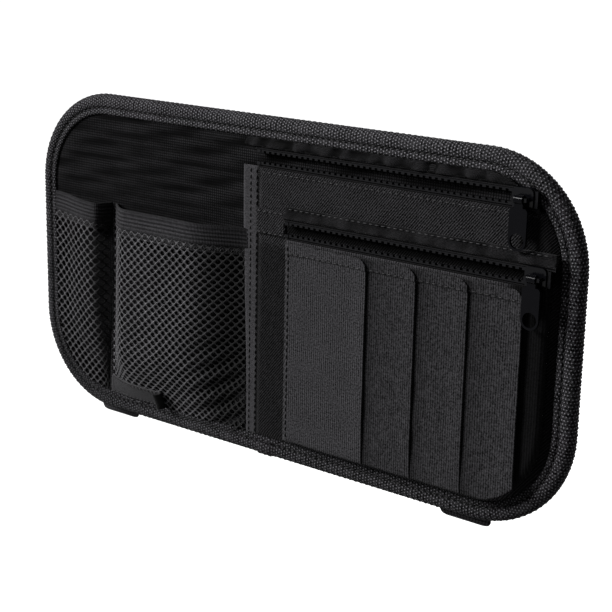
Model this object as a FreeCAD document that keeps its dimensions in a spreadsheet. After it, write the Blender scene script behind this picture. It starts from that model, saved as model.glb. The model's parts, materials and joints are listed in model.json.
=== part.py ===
"""Sun-visor organiser for a car, as a parametric FreeCAD document in millimetres.

X runs to the right along the panel, Z runs up and Y runs to the back, so the pockets face -Y.
The origin is the middle of the back cover, where the panel lies against the sun visor.
Layers are stacked towards -Y: back cover, board, foam, lining, upper pocket, lower pocket, cards.
"""
import FreeCAD, Part
import math
import os
import Sketcher

doc = FreeCAD.newDocument("visor_organiser")
sheet = doc.addObject("Spreadsheet::Sheet", "Sizes")

DRIVING_SIZES = [
    # panel
    ("panel_width", 305.0), ("panel_height", 158.0), ("corner_radius", 46.0),
    ("cover_thickness", 0.8), ("board_thickness", 1.6), ("foam_thickness", 1.8), ("board_inset", 1.5),
    # edge binding: a tape folded round the rim, with room inside its fold
    ("binding_width", 9.5), ("binding_thickness", 0.9), ("binding_room", 1.0), ("binding_bevel", 1.2),
    # mesh pockets
    ("cable_pocket_width", 39.0), ("cable_pocket_depth", 12.0),
    ("phone_pocket_width", 83.5), ("phone_pocket_depth", 11.0),
    ("mesh_thickness", 0.9), ("mesh_rounding", 6.0), ("mesh_pocket_drop", 51.5),
    ("elastic_height", 9.5), ("elastic_thickness", 1.4),
    ("seam_tape_thickness", 0.8), ("divider_width", 4.0), ("centre_tape_width", 6.0),
    ("patch_width", 32.0), ("patch_height", 8.0), ("patch_thickness", 0.8), ("patch_end_margin", 2.0),
    # zipped pockets
    ("sheet_thickness", 0.7), ("sheet_bevel", 1.2), ("upper_cavity", 2.6), ("lower_cavity", 2.0),
    ("upper_mouth_drop", 17.6), ("mouth_spacing", 29.6), ("lower_pocket_offset", 18.5),
    ("tab_height", 11.5), ("tab_thickness", 0.5), ("tab_gap", 0.5),
    # card slots: panels that lie like shingles, sewn at the left and open at the right
    ("card_panel_width", 44.0), ("card_pitch", 25.3), ("card_margin", 1.5), ("card_rise", 1.6),
    ("card_sheet", 0.6), ("card_top_drop", 1.2),
    ("hem_height", 5.5), ("hem_thickness", 0.4), ("hem_gap", 2.0),
    # zips
    ("mouth_gap", 4.1), ("upper_zip_length", 141.3), ("lower_zip_length", 132.0),
    ("zip_margin", 1.5), ("tape_thickness", 0.6), ("tape_overlap", 4.5), ("flange_length", 2.6),
    ("fold_gap", 0.3), ("sheet_gap", 0.5),
    ("tape_tuck", 6.0),
    ("flap_thickness", 0.6), ("tooth_pitch", 3.0), ("tooth_length", 1.6), ("tooth_reach", 1.3),
    ("tooth_height", 1.6), ("coil_core", 0.45), ("top_stop_length", 2.0), ("bottom_stop_length", 1.4),
    ("stop_height", 2.2), ("stop_gap", 0.3), ("rounding_slack", 0.05),
    # sliders and pulls
    ("slider_length", 9.5), ("slider_plate", 0.8), ("slider_flange", 0.7), ("slider_clearance", 0.2),
    ("tape_slot", 1.0), ("slider_corner", 2.0), ("wedge_width", 3.0), ("wedge_length", 3.6),
    ("crown_span", 4.6), ("crown_post", 1.2), ("crown_height", 2.1), ("crown_bar_radius", 0.8),
    ("eye_clearance", 0.15), ("eye_wall", 0.8), ("eye_side_gap", 0.4),
    ("pull_width", 8.0), ("pull_length", 20.5), ("pull_thickness", 1.2), ("pull_neck", 3.4),
    ("pull_hole_radius", 3.1), ("pull_shoulder", 1.5),
    # straps behind the panel
    ("left_strap_inset", 43.5), ("right_strap_inset", 53.5), ("strap_width", 26.0),
    ("strap_thickness", 1.4), ("visor_gap", 14.5),
    ("strap_hinge_drop", 24.0), ("strap_back_gap", 0.1), ("strap_start", 2.0),
    ("bow_top_drop", 39.5), ("bow_bottom_rise", 45.0), ("strap_seat_rise", 33.0),
    ("strap_bend_rise", 8.0), ("strap_overhang", 6.0), ("strap_flare", 1.0),
    ("strap_first_bend", 4.0), ("strap_bend", 11.0), ("strap_corner", 3.0),
    ("anchor_height", 8.8), ("anchor_gap", 0.4), ("hook_height", 14.0), ("hook_top_rise", 30.0),
    ("loop_height", 20.0), ("loop_top_rise", 35.0), ("loop_thickness", 1.2), ("hook_gap", 0.05),
]

for row, (alias, value) in enumerate(DRIVING_SIZES, start=1):
    sheet.set("A%d" % row, alias)
    sheet.set("B%d" % row, str(value))
    sheet.setAlias("B%d" % row, alias)
doc.recompute()


# ---------------------------------------------------------------- sizes that remember their formula
class Size:
    """A length that keeps the spreadsheet formula it comes from, as a sum of scaled terms.

    Each term is a product of cells, such as "Sizes.card_rise / Sizes.card_panel_width", and its share.
    """

    def __init__(self, terms, value):
        self.terms = {cells: share for cells, share in terms.items() if abs(share) > 1e-12}
        self.value = float(value)

    @property
    def formula(self):
        text = ""
        for cells, share in self.terms.items():
            sign = " - " if share < 0 else (" + " if text else "")
            amount = repr(abs(share))
            text += sign + (amount + " * " + cells if cells else amount)
        return text.strip() or "0"

    def __add__(self, other):
        other = as_size(other)
        terms = dict(self.terms)
        for cells, share in other.terms.items():
            terms[cells] = terms.get(cells, 0.0) + share
        return Size(terms, self.value + other.value)

    def __neg__(self):
        return Size({cells: -share for cells, share in self.terms.items()}, -self.value)

    def __sub__(self, other):
        return self + -as_size(other)

    def __mul__(self, other):
        other = as_size(other)
        terms = {}
        for cells, share in self.terms.items():
            for more, amount in other.terms.items():
                product = " * ".join(part for part in (more, cells) if part)
                terms[product] = terms.get(product, 0.0) + share * amount
        return Size(terms, self.value * other.value)

    def __truediv__(self, other):
        """Divides by a number or by a single cell."""
        if not isinstance(other, Size):
            return self * (1.0 / other)
        (divisor, share), = other.terms.items()
        terms = {"%s / %s" % (cells or "1", divisor): amount / share for cells, amount in self.terms.items()}
        return Size(terms, self.value / other.value)

    def __rmul__(self, other):
        return self * other


def as_size(number):
    return number if isinstance(number, Size) else Size({"": float(number)}, number)


def size(alias):
    return Size({"Sizes." + alias: 1.0}, sheet.get(alias))


# ---------------------------------------------------------------- sketches and features
def new_body(label, x=0.0, y=0.0, z=0.0):
    body = doc.addObject("PartDesign::Body", label)
    body.Label = label
    for axis, place in zip("xyz", (x, y, z)):
        body.setExpression("Placement.Base." + axis, as_size(place).formula)
    return body


def new_sketch(body, plane_role, height=0.0):
    """A sketch on one of the body's origin planes, moved along the plane's normal.

    XY_Plane faces +Z, YZ_Plane faces +X and XZ_Plane faces -Y.
    """
    plane = next(f for f in body.Origin.OriginFeatures if f.Role == plane_role)
    sketch = body.newObject("Sketcher::SketchObject", body.Label + "_sketch")
    sketch.AttachmentSupport = (plane, [""])
    sketch.MapMode = "FlatFace"
    sketch.setExpression("AttachmentOffset.Base.z", as_size(height).formula)
    return sketch


def bind(sketch, *constraint, size_of):
    """Adds one dimension to a sketch and ties it to its formula."""
    size_of = as_size(size_of)
    index = sketch.addConstraint(Sketcher.Constraint(*constraint, size_of.value))
    name = "size_%d" % index
    sketch.renameConstraint(index, name)
    sketch.setExpression("Constraints." + name, size_of.formula)


def bind_point(sketch, curve, end, point):
    bind(sketch, "DistanceX", -1, 1, curve, end, size_of=point[0])
    bind(sketch, "DistanceY", -1, 1, curve, end, size_of=point[1])


def vector(point):
    return FreeCAD.Vector(as_size(point[0]).value, as_size(point[1]).value, 0)


def draw_polygon(sketch, points):
    first = sketch.GeometryCount
    count = len(points)
    for i in range(count):
        sketch.addGeometry(Part.LineSegment(vector(points[i]), vector(points[(i + 1) % count])))
    for i in range(count):
        sketch.addConstraint(Sketcher.Constraint("Coincident", first + i, 2, first + (i + 1) % count, 1))
    for i, point in enumerate(points):
        bind_point(sketch, first + i, 1, point)


def draw_rectangle(sketch, left, right, bottom, top):
    draw_polygon(sketch, [(left, bottom), (right, bottom), (right, top), (left, top)])


def draw_circle(sketch, centre, radius):
    curve = sketch.addGeometry(Part.Circle(vector(centre), FreeCAD.Vector(0, 0, 1), as_size(radius).value))
    bind_point(sketch, curve, 3, centre)
    bind(sketch, "Radius", curve, size_of=radius)


def draw_rim(sketch, inset):
    """The panel's outline moved inwards: straight sides and an arc at each corner."""
    right = size("panel_width") / 2 - inset
    top = size("panel_height") / 2 - inset
    radius = size("corner_radius") - inset
    for sign_x, sign_z, start in ((1, 1, 0), (1, -1, 270), (-1, -1, 180), (-1, 1, 90)):
        centre = FreeCAD.Vector(sign_x * (right - radius).value, sign_z * (top - radius).value, 0)
        circle = Part.Circle(centre, FreeCAD.Vector(0, 0, 1), radius.value)
        sketch.addGeometry(Part.ArcOfCircle(circle, math.radians(start), math.radians(start + 90)))
    ends = [(c.StartPoint, c.EndPoint) for c in sketch.Geometry]
    # the arcs run counter-clockwise while the corners are listed clockwise
    sides = [(0, 1, 1, 2), (1, 1, 2, 2), (2, 1, 3, 2), (3, 1, 0, 2)]
    for arc_a, end_a, arc_b, end_b in sides:
        line = sketch.addGeometry(Part.LineSegment(ends[arc_a][end_a - 1], ends[arc_b][end_b - 1]))
        sketch.addConstraint(Sketcher.Constraint("Tangent", line, 1, arc_a, end_a))
        sketch.addConstraint(Sketcher.Constraint("Tangent", line, 2, arc_b, end_b))
    for arc in range(4):
        bind(sketch, "Radius", arc, size_of=radius)
    right_line, bottom_line, left_line, top_line = 4, 5, 6, 7
    for line in (right_line, left_line):
        sketch.addConstraint(Sketcher.Constraint("Vertical", line))
    for line in (bottom_line, top_line):
        sketch.addConstraint(Sketcher.Constraint("Horizontal", line))
    bind(sketch, "DistanceX", -1, 1, right_line, 1, size_of=right)
    bind(sketch, "DistanceX", left_line, 1, -1, 1, size_of=right)
    bind(sketch, "DistanceY", -1, 1, top_line, 1, size_of=top)
    bind(sketch, "DistanceY", bottom_line, 1, -1, 1, size_of=top)


def draw_band(sketch, points, radii, thickness):
    """A band of even thickness along straight runs and tangent bends, bound to its middle line."""
    corners = [vector(p) for p in points]
    starts, ends, centres, left_turns = [corners[0]], [], [], []
    for before, corner, after, radius in zip(corners, corners[1:], corners[2:], radii):
        back_way = (before - corner).normalize()
        on_way = (after - corner).normalize()
        half = back_way.getAngle(on_way) / 2
        reach = radius.value / math.tan(half)
        ends.append(corner + back_way * reach)
        starts.append(corner + on_way * reach)
        centres.append(corner + (back_way + on_way).normalize() * (radius.value / math.sin(half)))
        left_turns.append(back_way.cross(on_way).z < 0)
    ends.append(corners[-1])

    def draw_chain(offset):
        """One line of runs and bends at a distance to the left of the middle."""
        runs = []
        for start, end in zip(starts, ends):
            way = (end - start).normalize()
            shift = FreeCAD.Vector(-way.y, way.x, 0) * offset.value
            runs.append(sketch.addGeometry(Part.LineSegment(start + shift, end + shift)))
        bends = []
        for i, (centre, left_turn, radius) in enumerate(zip(centres, left_turns, radii)):
            entry, leave = [math.atan2(p.y - centre.y, p.x - centre.x) for p in (ends[i], starts[i + 1])]
            first, last = (entry, leave) if left_turn else (leave, entry)
            bend_radius = radius - offset if left_turn else radius + offset
            circle = Part.Circle(centre, FreeCAD.Vector(0, 0, 1), bend_radius.value)
            bends.append(sketch.addGeometry(Part.ArcOfCircle(circle, first, last)))
            bind(sketch, "Radius", bends[-1], size_of=bend_radius)
            near, far = (1, 2) if left_turn else (2, 1)
            sketch.addConstraint(Sketcher.Constraint("Tangent", runs[i], 2, bends[i], near))
            sketch.addConstraint(Sketcher.Constraint("Tangent", runs[i + 1], 1, bends[i], far))
        return runs, bends

    runs, bends = draw_chain(as_size(0.0))
    for curve in runs + bends:
        sketch.toggleConstruction(curve)
    for i, point in enumerate(points[1:-1]):
        corner = sketch.addGeometry(Part.Point(vector(point)), True)
        bind_point(sketch, corner, 1, point)
        sketch.addConstraint(Sketcher.Constraint("PointOnObject", corner, 1, runs[i]))
        sketch.addConstraint(Sketcher.Constraint("PointOnObject", corner, 1, runs[i + 1]))
    bind_point(sketch, runs[0], 1, points[0])
    bind_point(sketch, runs[-1], 2, points[-1])
    edges = []
    for offset in (thickness / 2, -thickness / 2):
        edge_runs, edge_bends = draw_chain(offset)
        for edge_bend, bend in zip(edge_bends, bends):
            sketch.addConstraint(Sketcher.Constraint("Coincident", edge_bend, 3, bend, 3))
        for end in (0, -1):
            sketch.addConstraint(Sketcher.Constraint("Parallel", edge_runs[end], runs[end]))
        edges.append(edge_runs)
    for run, end in ((0, 1), (-1, 2)):
        tips = [sketch.getPoint(edge_runs[run], end) for edge_runs in edges]
        cap = sketch.addGeometry(Part.LineSegment(*tips))
        for cap_end, edge_runs in ((1, edges[0]), (2, edges[1])):
            sketch.addConstraint(Sketcher.Constraint("Coincident", cap, cap_end, edge_runs[run], end))
        sketch.addConstraint(Sketcher.Constraint("Perpendicular", cap, runs[run]))
        sketch.addConstraint(Sketcher.Constraint("PointOnObject", runs[run], end, cap))


def pad(body, sketch, length, both_ways=False, backwards=False):
    feature = body.newObject("PartDesign::Pad", body.Label + "_pad")
    feature.Profile = sketch
    feature.setExpression("Length", as_size(length).formula)
    feature.Midplane = both_ways
    feature.Reversed = backwards
    doc.recompute([body])
    return feature


def pocket(body, sketch, length):
    """Cuts from the sketch towards the face of the panel."""
    before = body.Shape.Volume
    feature = body.newObject("PartDesign::Pocket", body.Label + "_pocket")
    feature.Profile = sketch
    feature.setExpression("Length", as_size(length).formula)
    feature.Reversed = True
    doc.recompute([body])
    if body.Shape.Volume >= before:
        raise RuntimeError(body.Label + ": the pocket cut nothing")


def dress_edges(body, kind, size_name, edges, amount):
    base = body.Tip
    feature = body.newObject("PartDesign::" + kind, body.Label + "_" + kind.lower())
    feature.Base = (base, edges)
    feature.setExpression(size_name, as_size(amount).formula)
    doc.recompute([body])
    if "Invalid" in feature.State:
        raise RuntimeError("%s: no %s on its edges" % (body.Label, kind.lower()))


def round_edges(body, edges, radius):
    dress_edges(body, "Fillet", "Radius", edges, radius)


def bevel_edges(body, edges, width):
    dress_edges(body, "Chamfer", "Size", edges, width)


NEAR = 1e-4


def edges_where(body, wanted):
    """Names of the edges of the body so far whose box passes the test."""
    return ["Edge%d" % (i + 1) for i, edge in enumerate(body.Tip.Shape.Edges) if wanted(edge.BoundBox)]


def all_at(place, *ends):
    return all(abs(end - place.value) < NEAR for end in ends)


def flat_y(box, y):
    return all_at(y, box.YMin, box.YMax)


def flat_z(box, z):
    return all_at(z, box.ZMin, box.ZMax)


# ---------------------------------------------------------------- shared places
cover = size("cover_thickness")
board_back = -cover
foam_back = board_back - size("board_thickness")
lining_back = foam_back - size("foam_thickness")
face = lining_back - cover
half_width = size("panel_width") / 2
half_height = size("panel_height") / 2
inner_right = half_width - size("binding_width")
inner_top = half_height - size("binding_width")
layer_inset = size("binding_thickness") + size("binding_room")

cable_left = -inner_right
cable_right = cable_left + size("cable_pocket_width")
phone_left = cable_right + size("divider_width")
phone_right = phone_left + size("phone_pocket_width")
zip_pocket_left = phone_right + size("centre_tape_width")
lower_pocket_left = zip_pocket_left + size("lower_pocket_offset")

upper_back = face - size("upper_cavity")
upper_front = upper_back - size("sheet_thickness")
lower_back = upper_front - size("lower_cavity")
lower_front = lower_back - size("sheet_thickness")
upper_tape_y = upper_back - size("sheet_thickness") / 2
lower_tape_y = lower_back - size("sheet_thickness") / 2
row_inside = size("mouth_gap") / 2
row_outside = row_inside + size("tooth_reach")
slider_side = row_outside + size("slider_clearance") + size("slider_flange")
sheet_drop = slider_side + size("sheet_gap")
upper_mouth = half_height - size("upper_mouth_drop")
lower_mouth = upper_mouth - size("mouth_spacing")
upper_sheet_top = upper_mouth - sheet_drop
lower_sheet_top = lower_mouth - sheet_drop
mesh_pocket_top = half_height - size("mesh_pocket_drop")
lower_inset = 2 * size("sheet_bevel")
lower_bottom = lower_inset - inner_top

finished = {}


def finish(label, result):
    result.Label = label
    finished[label] = result
    return result


# ---------------------------------------------------------------- the stiffened panel
def make_layer(label, back, thickness, inset):
    body = new_body(label)
    outline = new_sketch(body, "XZ_Plane", -back)
    draw_rim(outline, inset)
    pad(body, outline, thickness)
    finish(label, body)


def make_binding():
    """A tape folded round the rim: two flanges, a rounded nose and a groove that holds the layers."""
    body = new_body("edge_binding")
    outline = new_sketch(body, "XZ_Plane", -size("binding_thickness"))
    draw_rim(outline, as_size(0.0))
    total = 2 * size("binding_thickness") - face
    pad(body, outline, total)
    rim_back = size("binding_thickness")
    rim_front = face - size("binding_thickness")
    bevel_edges(body, edges_where(body, lambda b: flat_y(b, rim_front) or flat_y(b, rim_back)),
                size("binding_bevel"))
    window = new_sketch(body, "XZ_Plane", -size("binding_thickness"))
    draw_rim(window, size("binding_width"))
    pocket(body, window, total)
    groove = new_sketch(body, "XZ_Plane", 0.0)
    draw_rim(groove, size("binding_thickness"))
    pocket(body, groove, -face)
    finish("edge_binding", body)


make_layer("back_cover", as_size(0.0), cover, layer_inset)
make_layer("stiffener_board", board_back, size("board_thickness"), layer_inset + size("board_inset"))
make_layer("foam_pad", foam_back, size("foam_thickness"), layer_inset + size("board_inset"))
make_layer("front_lining", lining_back, cover, layer_inset)
make_binding()


# ---------------------------------------------------------------- open pockets with a rounded front
def trim_to_rim(label, body, inset, depth):
    """Keeps what lies in front of the face and inside the rim moved inwards."""
    prism = new_body(label + "_rim")
    outline = new_sketch(prism, "XZ_Plane", -face)
    draw_rim(outline, inset)
    pad(prism, outline, depth)
    common = doc.addObject("Part::Common", label)
    common.Base = body
    common.Tool = prism
    doc.recompute()
    return common


def notch_for_binding(label, piece):
    """Takes the binding's front flange out of a strip that runs over the rounded corner."""
    notched = doc.addObject("Part::Cut", label)
    notched.Base = piece
    notched.Tool = finished["edge_binding"]
    doc.recompute()
    finish(label, notched)


def draw_pocket_outline(sketch, sides, inset):
    """The rim moved inwards and cut square at the sides that are given; None follows the rim."""
    radius = size("corner_radius") - inset
    rim_x = half_width - inset
    rim_z = half_height - inset
    left = -rim_x if sides["left"] is None else sides["left"]
    right = rim_x if sides["right"] is None else sides["right"]
    bottom = -rim_z if sides["bottom"] is None else sides["bottom"]
    top = sides["top"]
    round_left = sides["left"] is None and sides["bottom"] is None
    round_right = sides["right"] is None and sides["bottom"] is None
    cut_arc = sides["right"] is None and top.value > (rim_z - radius).value

    def arc(centre_x, centre_z, start, end):
        centre = FreeCAD.Vector(centre_x.value, centre_z.value, 0)
        circle = Part.Circle(centre, FreeCAD.Vector(0, 0, 1), radius.value)
        return sketch.addGeometry(Part.ArcOfCircle(circle, start, end))

    def line(from_x, from_z, to_x, to_z):
        return sketch.addGeometry(Part.LineSegment(vector((from_x, from_z)), vector((to_x, to_z))))

    arcs, chain = [], []
    if round_left:
        arcs.append(arc(left + radius, bottom + radius, math.pi, 1.5 * math.pi))
        chain.append(arcs[-1])
    bottom_line = line(left + radius if round_left else left, bottom,
                       right - radius if round_right else right, bottom)
    chain.append(bottom_line)
    if round_right:
        arcs.append(arc(right - radius, bottom + radius, 1.5 * math.pi, 2 * math.pi))
        chain.append(arcs[-1])
    right_line = line(right, bottom + radius if round_right else bottom,
                      right, rim_z - radius if cut_arc else top)
    chain.append(right_line)
    end_x = right
    if cut_arc:
        turn = math.asin((top - rim_z + radius).value / radius.value)
        end_x = right - radius + radius.value * math.cos(turn)
        upper_arc = arc(right - radius, rim_z - radius, 0.0, turn)
        arcs.append(upper_arc)
        chain.append(upper_arc)
        bind(sketch, "DistanceY", -1, 1, upper_arc, 3, size_of=rim_z - radius)
    top_line = line(end_x, top, left, top)
    left_line = line(left, top, left, bottom + radius if round_left else bottom)
    chain += [top_line, left_line]
    for this, following in zip(chain, chain[1:] + chain[:1]):
        smooth = (this in arcs or following in arcs) and not (cut_arc and following == top_line)
        joint = "Tangent" if smooth else "Coincident"
        sketch.addConstraint(Sketcher.Constraint(joint, this, 2, following, 1))
    for curve in arcs:
        bind(sketch, "Radius", curve, size_of=radius)
    for curve, x in ((left_line, left), (right_line, right)):
        sketch.addConstraint(Sketcher.Constraint("Vertical", curve))
        bind(sketch, "DistanceX", -1, 1, curve, 1, size_of=x)
    for curve, z in ((bottom_line, bottom), (top_line, top)):
        sketch.addConstraint(Sketcher.Constraint("Horizontal", curve))
        bind(sketch, "DistanceY", -1, 1, curve, 1, size_of=z)


def make_open_pocket(label, sides, back, depth, soften, softness, wall, rim_inset, open_sides=("top",)):
    """A shallow bag on the layer behind it: closed in front and at the sides, open where it says.

    A side given as None follows the rim at its inset.
    """
    body = new_body(label)
    outline = new_sketch(body, "XZ_Plane", -back)
    draw_pocket_outline(outline, sides, rim_inset)
    pad(body, outline, depth)
    inwards = {"left": wall, "right": -wall, "bottom": wall, "top": -wall}
    inside = {side: None if place is None else place + inwards[side] for side, place in sides.items()}
    for side in open_sides:
        inside[side] = sides[side] - inwards[side]
    hollow = new_sketch(body, "XZ_Plane", -back)
    draw_pocket_outline(hollow, inside, rim_inset + wall)
    pocket(body, hollow, depth - wall)
    open_ends = [sides[side] for side in open_sides]

    def front_edges(y):
        return edges_where(body, lambda b: flat_y(b, y) and not any(flat_z(b, z) for z in open_ends))

    soften(body, front_edges(back - depth + wall), softness - wall)
    soften(body, front_edges(back - depth), softness)
    finish(label, body)


mesh_top = mesh_pocket_top - size("elastic_height")
for name, left, right in (("cable", None, cable_right), ("phone", phone_left, phone_right)):
    depth = size(name + "_pocket_depth")
    make_open_pocket(name + "_pocket_mesh", {"left": left, "right": right, "bottom": None, "top": mesh_top},
                     face, depth, round_edges, size("mesh_rounding"), size("mesh_thickness"),
                     size("binding_width"))
    make_open_pocket(name + "_pocket_elastic",
                     {"left": left, "right": right, "bottom": mesh_top, "top": mesh_pocket_top},
                     face, depth, round_edges, size("mesh_rounding"), size("elastic_thickness"),
                     size("binding_width"), ("bottom", "top"))

make_open_pocket("upper_pocket_front",
                 {"left": zip_pocket_left, "right": None, "bottom": None, "top": upper_sheet_top},
                 face, face - upper_front, bevel_edges, size("sheet_bevel"), size("sheet_thickness"),
                 size("binding_width"))
make_open_pocket("lower_pocket_front",
                 {"left": lower_pocket_left, "right": None, "bottom": None, "top": lower_sheet_top},
                 upper_front, upper_front - lower_front, bevel_edges, size("sheet_bevel"),
                 size("sheet_thickness"),
                 size("binding_width") + lower_inset)


# ---------------------------------------------------------------- flat sewn tapes and patches
def make_flat_piece(label, left, right, bottom, top, back, thickness):
    body = new_body(label)
    outline = new_sketch(body, "XZ_Plane", -back)
    draw_rectangle(outline, left, right, bottom, top)
    pad(body, outline, thickness)
    finish(label, body)


seam_thickness = size("seam_tape_thickness")
make_flat_piece("divider_tape", cable_right, phone_left, -inner_top, mesh_pocket_top, face,
                seam_thickness)
make_flat_piece("centre_seam_tape", phone_right, zip_pocket_left, -inner_top, upper_sheet_top, face,
                seam_thickness)
make_flat_piece("corner_patch", phone_left + size("mesh_rounding"),
                phone_left + size("mesh_rounding") + size("patch_width"),
                -inner_top + size("mesh_rounding") + size("patch_end_margin"),
                -inner_top + size("mesh_rounding") + size("patch_end_margin") + size("patch_height"),
                face - size("phone_pocket_depth"), size("patch_thickness"))
make_flat_piece("zip_end_tab", zip_pocket_left + size("sheet_bevel"), lower_pocket_left - size("tab_gap"),
                lower_sheet_top, lower_sheet_top + size("tab_height"), upper_front, size("tab_thickness"))


# ---------------------------------------------------------------- card slots
def make_card_panel(label, number):
    """A slanted sheet: its left edge is sewn down and its right edge stands off for the card."""
    start = lower_pocket_left + size("card_margin") + size("sheet_bevel") + number * size("card_pitch")
    end = start + size("card_panel_width")
    slope = size("card_rise") / size("card_panel_width")
    bottom = lower_bottom + size("sheet_bevel")
    top = lower_sheet_top - size("card_top_drop")
    body = new_body(label)
    section = new_sketch(body, "XY_Plane", bottom)
    draw_polygon(section, [(start, lower_front), (end, lower_front - size("card_rise")),
                           (end, lower_front - size("card_rise") - size("card_sheet")),
                           (start, lower_front - size("card_sheet"))])
    pad(body, section, top - bottom)
    hidden = size("card_panel_width") - size("card_pitch") + size("hem_gap") if number else as_size(0.0)
    hem_start = start + hidden
    hem_back = lower_front - size("card_sheet")
    hem = new_sketch(body, "XY_Plane", top - size("hem_height"))
    draw_polygon(hem, [(hem_start, hem_back - slope * hidden),
                       (end, hem_back - size("card_rise")),
                       (end, hem_back - size("card_rise") - size("hem_thickness")),
                       (hem_start, hem_back - slope * hidden - size("hem_thickness"))])
    pad(body, hem, size("hem_height"))
    return body


for number in range(3):
    label = "card_slot_panel_%d" % (number + 1)
    finish(label, make_card_panel(label, number))
card_depth = face - lower_front + size("card_rise") + size("card_sheet") + size("hem_thickness")
finish("card_slot_panel_4",
       trim_to_rim("card_slot_panel_4", make_card_panel("card_slot_panel_4_whole", 3),
                   size("binding_width") + lower_inset, card_depth))


# ---------------------------------------------------------------- zips
tape_half = size("tape_thickness") / 2
slope_start = slider_side + size("fold_gap")


def make_strip(label, x, y, z, length, section, upside_down=False):
    """A strip along X with the given (back, up) section, turned over for the lower side of a mouth."""
    sign = -1.0 if upside_down else 1.0
    body = new_body(label, x, y, z)
    sketch = new_sketch(body, "YZ_Plane")
    draw_polygon(sketch, [(back, sign * up) for back, up in section])
    pad(body, sketch, length)
    return body


def make_coil(label, x, y, z, length, upside_down):
    """A row of zip teeth on a core that is sewn along the tape's edge."""
    low, high = (row_inside, row_outside) if not upside_down else (-row_outside, -row_inside)
    root = high if not upside_down else low
    core = size("coil_core") if not upside_down else -size("coil_core")
    start = size("top_stop_length")
    usable = length - size("bottom_stop_length") - start
    body = new_body(label, x, y, z)
    spine = new_sketch(body, "YZ_Plane", start)
    half = size("tooth_height") / 2
    draw_polygon(spine, [(-half, root), (half, root), (half, root - core), (-half, root - core)])
    pad(body, spine, usable)
    tooth = new_sketch(body, "XZ_Plane", -half)
    draw_rectangle(tooth, start, start + size("tooth_length"), low, high)
    first = pad(body, tooth, size("tooth_height"))
    row = body.newObject("PartDesign::LinearPattern", label + "_row")
    row.Originals = [first]
    axis = next(f for f in body.Origin.OriginFeatures if f.Role == "X_Axis")
    row.Direction = (axis, [""])
    count = "floor(%s)" % ((usable - size("tooth_length")) / size("tooth_pitch")).formula
    row.setExpression("Occurrences", count + " + 1")
    row.setExpression("Length", count + " * " + size("tooth_pitch").formula)
    body.Tip = row
    doc.recompute()
    finish(label, body)


def make_block(label, x, y, z, low_x, high_x, low_z, high_z):
    """A metal stop that is clamped over the end of a tooth row, or over both rows."""
    body = new_body(label, x, y, z)
    half = size("stop_height") / 2
    outline = new_sketch(body, "XZ_Plane", -half)
    draw_rectangle(outline, low_x, high_x, low_z, high_z)
    pad(body, outline, size("stop_height"))
    finish(label, body)


def make_slider(label, x, y, z):
    """Two plates joined by a wedge, side flanges round the tapes and a crown for the pull."""
    body = new_body(label, x, y, z)
    half_length = size("slider_length") / 2
    plate_in = size("tooth_height") / 2 + size("slider_clearance")
    plate_out = plate_in + size("slider_plate")
    lip = size("tape_slot") / 2
    whole = new_sketch(body, "XZ_Plane", -plate_out)
    draw_rectangle(whole, -half_length, half_length, -slider_side, slider_side)
    pad(body, whole, 2 * plate_out)
    round_edges(body, edges_where(body, lambda b: b.YLength > NEAR), size("slider_corner"))
    channel = new_sketch(body, "YZ_Plane", -size("slider_length"))
    inside = row_outside + size("slider_clearance")
    draw_rectangle(channel, -plate_in, plate_in, -inside, inside)
    pocket(body, channel, 2 * size("slider_length"))
    slot = new_sketch(body, "YZ_Plane", -size("slider_length"))
    draw_rectangle(slot, -lip, lip, -2 * slider_side, 2 * slider_side)
    pocket(body, slot, 2 * size("slider_length"))
    wedge = new_sketch(body, "XZ_Plane", -plate_in)
    nose = -half_length + size("slider_plate")
    wide = size("wedge_width") / 2
    draw_polygon(wedge, [(nose, as_size(0.0)), (nose + size("wedge_length") / 2, -wide),
                         (nose + size("wedge_length"), -wide / 3), (nose + size("wedge_length"), wide / 3),
                         (nose + size("wedge_length") / 2, wide)])
    pad(body, wedge, 2 * plate_in)
    span = size("crown_span") / 2
    post = size("crown_post")
    bar_y = plate_out + size("crown_height")
    for low, high in ((-span - post, -span), (span, span + post)):
        foot = new_sketch(body, "XZ_Plane", plate_out)
        draw_rectangle(foot, low, high, -size("crown_bar_radius"), size("crown_bar_radius"))
        pad(body, foot, size("crown_height") + size("crown_bar_radius"))
    bar = new_sketch(body, "YZ_Plane", -span)
    draw_circle(bar, (-bar_y, as_size(0.0)), size("crown_bar_radius"))
    pad(body, bar, 2 * span)
    finish(label, body)
    return bar_y


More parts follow.
